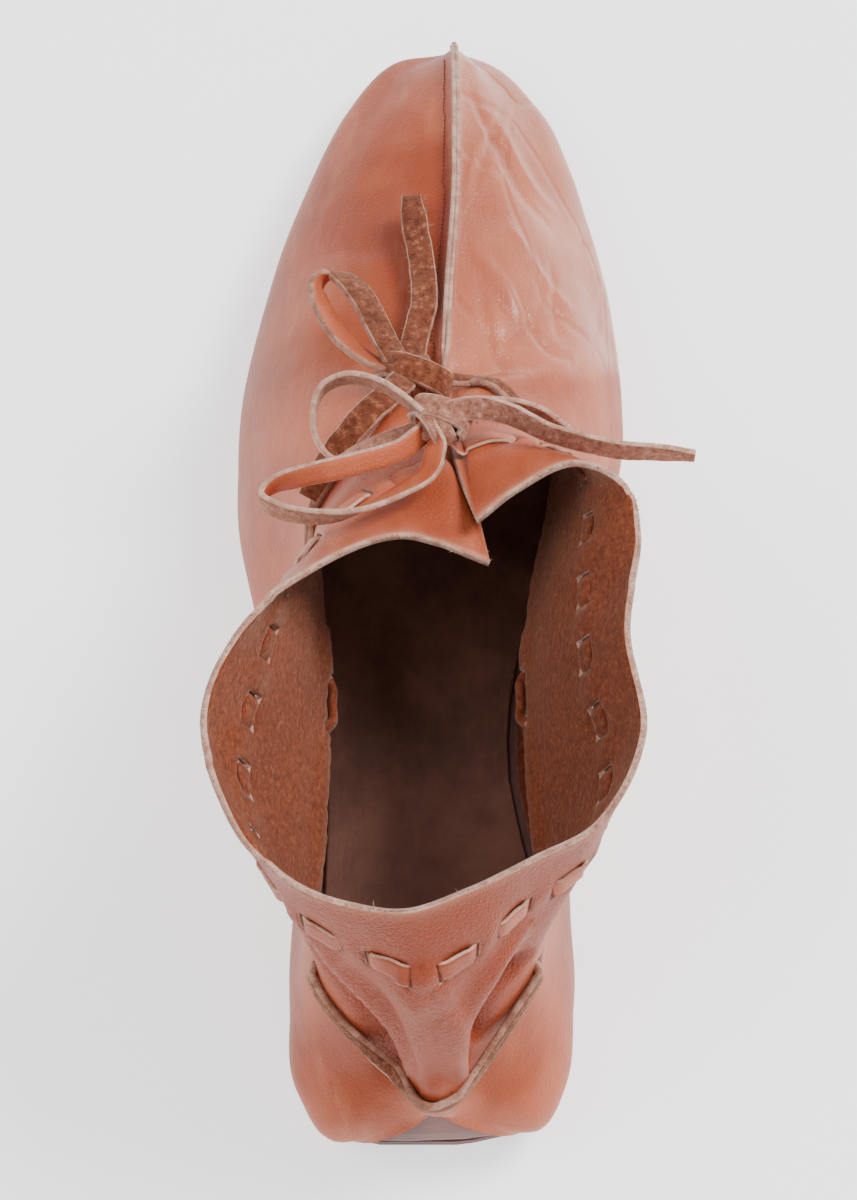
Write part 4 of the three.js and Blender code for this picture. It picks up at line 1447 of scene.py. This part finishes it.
@dataclass
class BowCord:
    """A bow's loop and free end, one strap that passes through the knot."""

    name: str
    nodes: tuple[str, ...]
    rows: Sequence[tuple[float, float, float, float]]
    strap: Strap
    over: Face
    seed: int = 1
    tip: float = 0.75
    tip_length: float = 7 * MM

    def path(self) -> tuple[Array, Array]:
        """The strap's centres, and its width's direction at each.

        Returns:
            The centres and the directions.
        """
        line = Spline([(x * MM, y * MM, z * MM) for x, y, z, _ in self.rows])
        leans = np.array([row[3] for row in self.rows], float)
        steps = np.linspace(0, line.count, line.count * 24 + 1)
        fine = line.at(steps)
        lengths = np.concatenate([[0], np.cumsum(np.linalg.norm(np.diff(fine, axis=0), axis=1))])
        even = np.interp(np.linspace(0, lengths[-1], int(lengths[-1] / (0.8 * MM))), lengths, steps)
        places = line.at(even)
        lean = np.radians(Spline([(a, 0, 0) for a in leans]).at(even)[:, 0])
        along = np.gradient(places, axis=0)
        left = np.stack([-along[:, 1], along[:, 0], np.zeros(len(places))], 1)
        left /= np.maximum(np.linalg.norm(left, axis=1), 1e-9)[:, None]
        for i in range(1, len(left)):
            if left[i] @ left[i - 1] < 0.2:
                left[i] = left[i - 1] * 0.9 + left[i] * 0.1
                left[i] /= np.linalg.norm(left[i])
        wide = left * np.cos(lean)[:, None] + np.array([0, 0, 1]) * np.sin(lean)[:, None]
        return places, wide

    def build(
        self, grain: bpy.types.Material, suede: bpy.types.Material, cut: bpy.types.Material
    ) -> bpy.types.Object:
        """Makes the strap.

        Args:
            grain: the smooth face's finish.
            suede: the rough face's finish.
            cut: the sides' finish.

        Returns:
            The piece.
        """
        places, wide = self.path()
        _, zones = self.strap.section()
        bm = bmesh.new()
        left = np.linalg.norm(np.diff(places, axis=0), axis=1)[::-1].cumsum()[::-1]
        narrow = mix(self.tip, 1.0, ease(np.concatenate([left, [0]]) / self.tip_length))
        lay_tube(bm, self.strap.rings(places, wide, self.seed, 0.22 * MM, narrow), zones)
        faces = (grain, suede) if self.over is Face.GRAIN else (suede, grain)
        return make_piece(bm, self.name, [*faces, cut], self.nodes)

    def fray(self, fibres: "Fibres", count: int) -> None:
        """Grows fibres along both cut sides.

        Args:
            fibres: the mesh that takes them.
            count: how many on each side.
        """
        places, wide = self.path()
        for way in (-1, 1):
            fibres.grow(places + wide * way * self.strap.width * 0.48, wide * way, count)

    def declare(self, piece: bpy.types.Object, others: list[bpy.types.Object]) -> None:
        """Works out the strap's path, from the knot to its free end, and does nothing more with it.

        Args:
            piece: the strap; not used.
            others: the pieces on it; not used.
        """
        places, _ = self.path()


@dataclass
class BowKnot:
    """A bow's knot: a core with the thong wound round it."""

    name: str
    node: str
    centre: tuple[float, float, float]
    halves: tuple[float, float, float]
    turn: float
    strap: Strap
    wraps: Sequence[tuple[float, float, float, float]]

    def build(
        self, outer: bpy.types.Material, inner: bpy.types.Material, cut: bpy.types.Material
    ) -> bpy.types.Object:
        """Makes the knot.

        Args:
            outer: the finish of the wraps' outside.
            inner: the finish of their inside and of the core.
            cut: the sides' finish.

        Returns:
            The piece.
        """
        bm = bmesh.new()
        bmesh.ops.create_uvsphere(bm, u_segments=28, v_segments=18, radius=1)
        spin = math.radians(self.turn)
        centre = np.array(self.centre) * MM
        axis = np.array([math.cos(spin), math.sin(spin), 0])
        side = np.array([-math.sin(spin), math.cos(spin), 0])
        up = np.array([0.0, 0, 1])
        a, b, c = (h * MM for h in self.halves)
        for vert in bm.verts:
            x, y, z = vert.co
            lump = 1 + 0.10 * noise.noise(Vector((x * 2, y * 2, z * 2)))
            lump += 0.05 * math.cos(9 * math.atan2(z, y))
            flat = axis * x * a * 0.8 * lump + side * y * b * 0.72 * lump
            vert.co = centre + flat + up * z * c * 0.72 * lump
        for face in bm.faces:
            face.material_index, face.smooth = 1, True
        _, zones = self.strap.section()
        turns = np.linspace(0, 2 * math.pi + 0.35, 64)
        for skew, shift, grow, begin in self.wraps:
            lean = math.radians(skew)
            reach = math.hypot(a * math.sin(lean), b * math.cos(lean))
            own_axis = axis * math.cos(lean) + side * math.sin(lean)
            own_side = -axis * math.sin(lean) + side * math.cos(lean)
            angle = turns + math.radians(begin)
            swell = grow + 0.06 * turns / (2 * math.pi)
            drift = (shift + 1.2 * (turns / (2 * math.pi) - 0.5)) * MM
            places = (
                centre
                + own_axis * drift[:, None]
                + own_side * (np.cos(angle) * reach * swell)[:, None]
                + up * (np.sin(angle) * c * swell)[:, None]
            )
            wide = np.tile(-own_axis, (len(places), 1))
            lay_tube(bm, self.strap.rings(places, wide, int(skew) + 5, 0.15 * MM), zones)
        return make_piece(bm, self.name, [outer, inner, cut], [self.node])


# Small work


@dataclass
class SeamStitches:
    """The row of stitches beside the vamp's seam, on the outer side."""

    upper: Upper
    reach: tuple[float, float] = (0.6, 4.9)
    pitch: float = 1.45 * MM
    length: float = 1.0 * MM
    radius: float = 0.2 * MM
    aside: float = 1.7 * MM
    arc: tuple = ((-0.05, -0.9, 0.5), (0.12, 0.1, 0.9), (0.5, 0.55, 1.0), (0.88, 0.1, 0.9), (1.05, -0.9, 0.5))

    def build(self, thread: bpy.types.Material) -> bpy.types.Object:
        """Makes the row as one mesh.

        Args:
            thread: the thread's finish.

        Returns:
            The piece.
        """
        us = np.linspace(*self.reach, 500)
        row = []
        for u in us:
            i = int(np.clip(np.searchsorted(self.upper.us, u), 0, len(self.upper.us) - 1))
            column = self.upper.places[i]
            gap = abs(column[:, 0] - column[-1, 0])
            j = max(1, int(np.max(np.flatnonzero(gap > self.aside), initial=0)))
            row.append((column[j], self.upper.outs[i, j]))
        places = np.array([r[0] for r in row])
        outs = np.array([r[1] for r in row])
        lengths = np.concatenate([[0], np.cumsum(np.linalg.norm(np.diff(places, axis=0), axis=1))])
        bm = bmesh.new()
        for d in np.arange(2 * MM, lengths[-1] - 2 * MM, self.pitch):
            start, end = (
                np.array([np.interp(x, lengths, places[:, k]) for k in range(3)])
                for x in (d, d + self.length)
            )
            out = np.array([np.interp(d, lengths, outs[:, k]) for k in range(3)])
            self.stitch(bm, start, end, out / np.linalg.norm(out))
        return make_piece(bm, "vamp_stitches", [thread])

    def stitch(self, bm: bmesh.types.BMesh, start: Array, end: Array, out: Array) -> None:
        """Adds one stitch that dips into the leather at both ends.

        Args:
            bm: the row's mesh.
            start: where it enters.
            end: where it leaves.
            out: the outward direction.
        """
        along = (end - start) / np.linalg.norm(end - start)
        side = np.cross(out, along)
        rings = []
        for t, lift, grow in self.arc:
            centre = start + (end - start) * t + out * lift * self.radius
            angles = np.linspace(0, 2 * math.pi, 7)[:-1]
            ring = [centre + (side * math.cos(a) + out * math.sin(a)) * self.radius * grow for a in angles]
            rings.append(ring)
        lay_tube(bm, np.array(rings), [0] * 6)


@dataclass
class Fibres:
    """Loose fibres along cut edges, as one mesh of fine blades."""

    name: str
    seed: int
    lengths: tuple[float, float] = (0.5 * MM, 1.3 * MM)
    radius: float = 0.085 * MM

    def __post_init__(self) -> None:
        """Starts the mesh and its own run of chances."""
        self.bm = bmesh.new()
        self.chance = random.Random(self.seed)

    def grow(self, roots: Array, outs: Array, count: int) -> None:
        """Grows fibres from places along an edge.

        Args:
            roots: places on the edge.
            outs: outward directions there.
            count: how many fibres.
        """
        for _ in range(count):
            i = self.chance.randrange(len(roots) - 1)
            t = self.chance.random()
            root = mix(roots[i], roots[i + 1], t)
            wild = np.array([self.chance.uniform(-1, 1) for _ in range(3)])
            way = outs[i] / np.linalg.norm(outs[i]) + wild * 0.8
            way /= np.linalg.norm(way)
            long = self.chance.uniform(*self.lengths) * (0.5 + self.chance.random() ** 3)
            bend = np.array([self.chance.uniform(-1, 1) for _ in range(3)]) * long * 0.35
            side = np.cross(way, np.array([0.3, 0.5, 0.8]))
            side /= np.linalg.norm(side)
            other = np.cross(way, side)
            rings = []
            for share, grow in ((-0.15, 1.0), (0.5, 0.8), (1.0, 0.35)):
                centre = root + way * long * share + bend * share**2
                ring = [
                    centre + (side * math.cos(a) + other * math.sin(a)) * self.radius * grow
                    for a in (0, 2.094, 4.189)
                ]
                rings.append(ring)
            lay_tube(self.bm, np.array(rings), [0] * 3)

    def build(self, finish: bpy.types.Material, slot: str) -> bpy.types.Object:
        """Makes the piece."""
        return make_piece(self.bm, self.name, [finish])


def bar_marks(
    route: Route, bar: tuple[float, float], ends: tuple[float, float], runs: tuple[float, float]
) -> list[float]:
    """The lengths of a thong's slits, counted both ways from one outside bar at the back.

    Args:
        route: the thong's way.
        bar: the sections at which that bar starts and ends.
        ends: the sections of the first and the last slit.
        runs: the lengths of an outside and of an inside run.

    Returns:
        The lengths, in order.
    """
    outside, inside = runs
    pitch = outside + inside
    marks = []
    for way, start, end in ((-1, bar[0], ends[0]), (1, bar[1], ends[1])):
        span = abs(route.length_at(end) - route.length_at(start))
        count = round((span - inside) / pitch)
        share = span / (inside + count * pitch)
        for k in range(count + 1):
            for run in (k * pitch, k * pitch + inside):
                marks.append(route.length_at(start) + way * share * run)
    return sorted(marks)


# The studio


@dataclass(frozen=True)
class Studio:
    """The camera at the photograph's angle, soft lights and a pale floor."""

    target: tuple[float, float, float] = (0, 0.10408, 0)
    distance: float = 0.9
    elevation: float = 70
    lens: float = 105.3

    def camera(self) -> None:
        """Sets the camera."""
        angle = math.radians(self.elevation)
        data = bpy.data.cameras.new("camera")
        data.lens, data.sensor_width, data.sensor_fit = self.lens, 36, "AUTO"
        data.clip_start, data.clip_end = 0.01, 20
        eye = bpy.data.objects.new("camera", data)
        x, y, z = self.target
        eye.location = (x, y - self.distance * math.cos(angle), z + self.distance * math.sin(angle))
        eye.rotation_euler = (math.pi / 2 - angle, 0, 0)
        bpy.context.scene.collection.objects.link(eye)
        bpy.context.scene.camera = eye

    def lamp(self, name: str, place: tuple, size: float, power: float) -> None:
        """Adds one soft box that faces the shoe.

        Args:
            name: its name.
            place: where it hangs.
            size: its side in metres.
            power: its power in watts.
        """
        data = bpy.data.lights.new(name, "AREA")
        data.shape, data.size, data.energy = "SQUARE", size, power
        lamp = bpy.data.objects.new(name, data)
        lamp.location = place
        way = Vector((0, 0.1, 0.04)) - Vector(place)
        lamp.rotation_euler = way.to_track_quat("-Z", "Y").to_euler()
        bpy.context.scene.collection.objects.link(lamp)

    def lights(self) -> None:
        """Sets the lights and the surrounding."""
        self.lamp("key", (0.85, 0.55, 1.25), 0.6, 31)
        self.lamp("fill", (-0.75, -0.05, 1.25), 0.8, 10)
        self.lamp("front", (0.25, -1.1, 0.9), 0.8, 3)
        world = bpy.data.worlds.new("studio")
        world.use_nodes = True
        ground = world.node_tree.nodes["Background"]
        ground.inputs[0].default_value, ground.inputs[1].default_value = (1, 1, 1, 1), 0.5
        bpy.context.scene.world = world

    def floor(self) -> None:
        """Lays the floor."""
        bm = bmesh.new()
        bmesh.ops.create_grid(bm, x_segments=8, y_segments=8, size=3)
        mesh = bpy.data.meshes.new("floor")
        bm.to_mesh(mesh)
        bm.free()
        floor = bpy.data.objects.new("floor", mesh)
        mesh.materials.append(Paper().material())
        bpy.context.scene.collection.objects.link(floor)


# The thongs. A route's stops are a section and a level; a bow's rows are x, y and z in millimetres
# and the lean of its width in degrees.
FIBRES_A_SIDE = 110
ANKLE_FIBRES = 300
RIM_FIBRES = 900
COLLAR_STOPS = (
    (8.15, 3.1), (8.6, 3.02), (9, 3), (10, 3), (12, 3), (14, 3), (16, 3), (18, 3), (20, 3), (22, 3), (24, 3),
    (25, 3.02), (25.6, 3.15), (26.2, 3.4),
)
ANKLE_STOPS = (
    (6, 3.4), (7, 3), (8, 2.6), (9, 2.2), (10, 2), (12, 2), (14, 2), (16, 2), (18, 2), (20, 2), (22, 2),
    (24, 2.05), (25, 2.3), (26, 2.7), (27, 3.1), (28, 3.45),
)
ANKLE_SLITS = (10.82, 11.22, 12.68, 13.2, 18.8, 19.32, 20.81, 21.23)
COLLAR_STRAP = Strap(5.5 * MM, 1.5 * MM)
ANKLE_STRAP = Strap(6.6 * MM, 1.9 * MM)
WOVEN_COLLAR = Strap(5.5 * MM, 0.95 * MM)
WOVEN_ANKLE = Strap(4.6 * MM, 2.0 * MM, round=0.85 * MM)
BACK_BAR = (16.26, 17.04)
COLLAR_ENDS = (8.6, 24.95)
COLLAR_RUNS = (9.3 * MM, 7.2 * MM)
COLLAR_LONG = (
    (-1.5, 110, 96, 125), (-6.6, 105.5, 97, 135), (-18, 101.4, 98, 138), (-29.6, 99, 97, 125),
    (-36, 97.5, 95, 105), (-38.4, 95, 94.5, 90), (-35, 91.5, 95.5, 75), (-24.8, 88.3, 99, 80),
    (-14.4, 88.8, 103.2, 115),
    (-6.5, 93.5, 101.5, 135), (-0.1, 99, 99, 145), (1.6, 105.5, 97, 150), (2.2, 110, 97.5, 100),
    (4, 113.5, 99, 30), (12, 115, 99.5, 32), (18.8, 113.7, 99, 50), (26.9, 109.7, 98.5, 62),
    (34.9, 106.9, 99, 66), (44, 104.6, 99.5, 68), (53.2, 103.8, 100, 76), (61.2, 102.9, 100, 84),
)
COLLAR_SHORT = (
    (-1.5, 114.1, 98, 90), (-6.6, 118.4, 98.5, 90), (-12.4, 122.4, 97.5, 90), (-19.4, 124.1, 96, 90),
    (-24.8, 122.2, 93.5, 90), (-26.9, 117, 91, 90), (-25.7, 110.4, 89.5, 95), (-21.7, 106.8, 88.5, 115),
    (-15.9, 108.4, 89, 150), (-9, 110.5, 90.5, 170), (-2.5, 112, 92.5, 180), (1.5, 113.6, 93.4, 195),
    (5, 115.5, 94, 205), (10, 117.5, 93.5, 230), (16.6, 118.5, 93, 252), (23.6, 117.8, 92, 258),
    (29.4, 114.8, 91, 256), (32.5, 112.8, 90.5, 250),
)
ANKLE_UP = (
    (-6, 137, 68.5, 60), (-14.1, 140.5, 69, 50), (-20.2, 146, 68, 45), (-24.4, 153, 66, 45),
    (-26.9, 160.2, 63, 55), (-27, 165, 61, 75), (-24.1, 167.3, 60.5, 110), (-20.4, 165.3, 62, 145),
    (-15.7, 158, 65.5, 160),
    (-12.2, 149.6, 68, 160), (-9, 142.5, 69.5, 155), (-6.2, 138, 69.6, 155), (-3.6, 136.4, 68.4, 170),
    (-3.3, 139, 66.4, 180), (-4, 143, 63.4, 180), (-3, 151.5, 60, 180), (-1.1, 161.2, 57.5, 175),
    (-1.6, 172.6, 54.5, 175), (-3.4, 184.6, 52.5, 180), (-4.4, 193.4, 51, 185),
)
ANKLE_DOWN = (
    (-6, 133, 74.3, 0), (-9, 128.5, 77.3, 0), (-13.4, 123.8, 78.5, 0), (-19.1, 116.8, 78.5, 0),
    (-25.1, 107.2, 78.8, 0), (-28.4, 101.5, 77.3, 0),
)


def main() -> None:
    """Builds the shoe in order: camera, cords, upper, thongs and small work."""
    logging.basicConfig(level=logging.INFO, format="%(name)s: %(message)s")
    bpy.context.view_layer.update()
    studio = Studio()
    studio.camera()
    grain, suede, cut = GrainLeather().material(), Suede().material(), CutEdge().material()
    strap_grain = GrainLeather("strap_grain", with_worn_edge_and_painted_light=False).material()
    strap_suede = Suede(
        "strap_suede", (0.36, 0.15, 0.10), (0.16, 0.055, 0.035), (0.56, 0.31, 0.23)
    ).material()
    dark_suede = Suede(
        "dark_suede", (0.19, 0.052, 0.024), (0.065, 0.015, 0.008), (0.40, 0.155, 0.085), 520
    ).material()
    nap_edge = CutEdge("nap_edge", (0.27, 0.105, 0.06), (0.45, 0.235, 0.16), (0.12, 0.038, 0.02)).material()
    collar_knot = BowKnot(
        "collar_knot_wraps", "collar_bow_knot", (2, 112.5, 95.5), (7, 4.6, 4), 30, COLLAR_STRAP,
        ((0, -1.0, 1.0, 200), (38, 2.0, 1.15, 150)),
    ).build(strap_grain, strap_suede, cut)
    ankle_knot = BowKnot(
        "ankle_knot_wraps", "ankle_bow_knot", (-3.5, 136, 68), (7, 4.4, 4), -10, ANKLE_STRAP,
        ((20, 1.0, 0.95, 180), (78, 0.4, 1.16, 205)),
    ).build(dark_suede, dark_suede, nap_edge)
    collar_long = BowCord(
        "collar_bow_long", ("collar_bow_loop_large", "collar_bow_end_long"), COLLAR_LONG, COLLAR_STRAP,
        Face.SUEDE, 1,
    )
    collar_short = BowCord(
        "collar_bow_short", ("collar_bow_loop_small", "collar_bow_end_short"), COLLAR_SHORT, COLLAR_STRAP,
        Face.GRAIN, 2,
    )
    ankle_up = BowCord(
        "ankle_bow_up", ("ankle_bow_loop_up", "ankle_bow_end_up"), ANKLE_UP, ANKLE_STRAP, Face.GRAIN, 3
    )
    ankle_down = BowCord(
        "ankle_bow_down", ("ankle_bow_loop_down",), ANKLE_DOWN, ANKLE_STRAP, Face.SUEDE, 4
    )
    cords = (
        (collar_long, collar_knot), (collar_short, collar_knot),
        (ankle_up, ankle_knot), (ankle_down, ankle_knot),
    )
    bow_fibres = Fibres("bow_fibres", 11)
    straps = []
    for cord, knot in cords:
        own = (dark_suede, nap_edge) if knot is ankle_knot else (strap_suede, cut)
        straps.append(cord.build(strap_grain, *own))
        cord.fray(bow_fibres, FIBRES_A_SIDE)
    fluff = bow_fibres.build(nap_edge, "suede_thong")
    for (cord, knot), strap in zip(cords, straps):
        cord.declare(strap, [knot, fluff])

    pattern = Pattern()
    collar_route, ankle_route = Route(pattern, COLLAR_STOPS), Route(pattern, ANKLE_STOPS)
    collar_marks = bar_marks(collar_route, BACK_BAR, COLLAR_ENDS, COLLAR_RUNS)
    ankle_marks = [ankle_route.length_at(u) for u in ANKLE_SLITS]
    collar = WovenThong(
        "collar_thong_strap", "collar_thong", collar_route, WOVEN_COLLAR, collar_marks, 1.8 * MM,
        lead_in=((0, 112, 95),), lead_out=((3, 112, 95),), standoff=0.1 * MM, slack=0.4 * MM,
    )
    ankle = WovenThong(
        "ankle_thong_strap", "ankle_thong", ankle_route, WOVEN_ANKLE, ankle_marks, 3.0 * MM,
        lead_in=((-5, 135.5, 67.5),), lead_out=((2, 136, 68.5), (-2, 136.5, 68)), slack=5 * MM,
    )
    upper = Upper(pattern, collar.slits(), ankle.slits())
    upper.build([grain, suede, cut])
    collar.build(upper, [strap_grain, suede, cut])
    ankle.build(upper, [dark_suede, suede, nap_edge])
    ankle_fibres = Fibres("ankle_fibres", 7)
    ankle.fray(ankle_fibres, ANKLE_FIBRES)
    ankle_fibres.build(nap_edge, "suede_thong")
    SeamStitches(upper).build(Thread().material())
    rim_fibres = Fibres("rim_fibres", 5)
    rim_fibres.grow(*upper.rim(), RIM_FIBRES)
    rim_fibres.build(cut, "upper_leather")

    # The sole's dark purple-brown is the heel riser's colour as it looks in its shade: the leather's own
    # colour with painted shade in it.
    sole = FirmLeather("sole_leather", (0.205, 0.09, 0.078), (0.10, 0.04, 0.034), 0.5).material()
    insole = FirmLeather("insole_leather", (0.30, 0.125, 0.082), (0.16, 0.064, 0.042), 0.46).material()
    for node, finish in (("sole", sole), ("insole", insole)):
        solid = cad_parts[node]
        solid.data.materials.clear()
        solid.data.materials.append(finish)
    studio.lights()
    studio.floor()


if __name__ == "__main__":
    main()
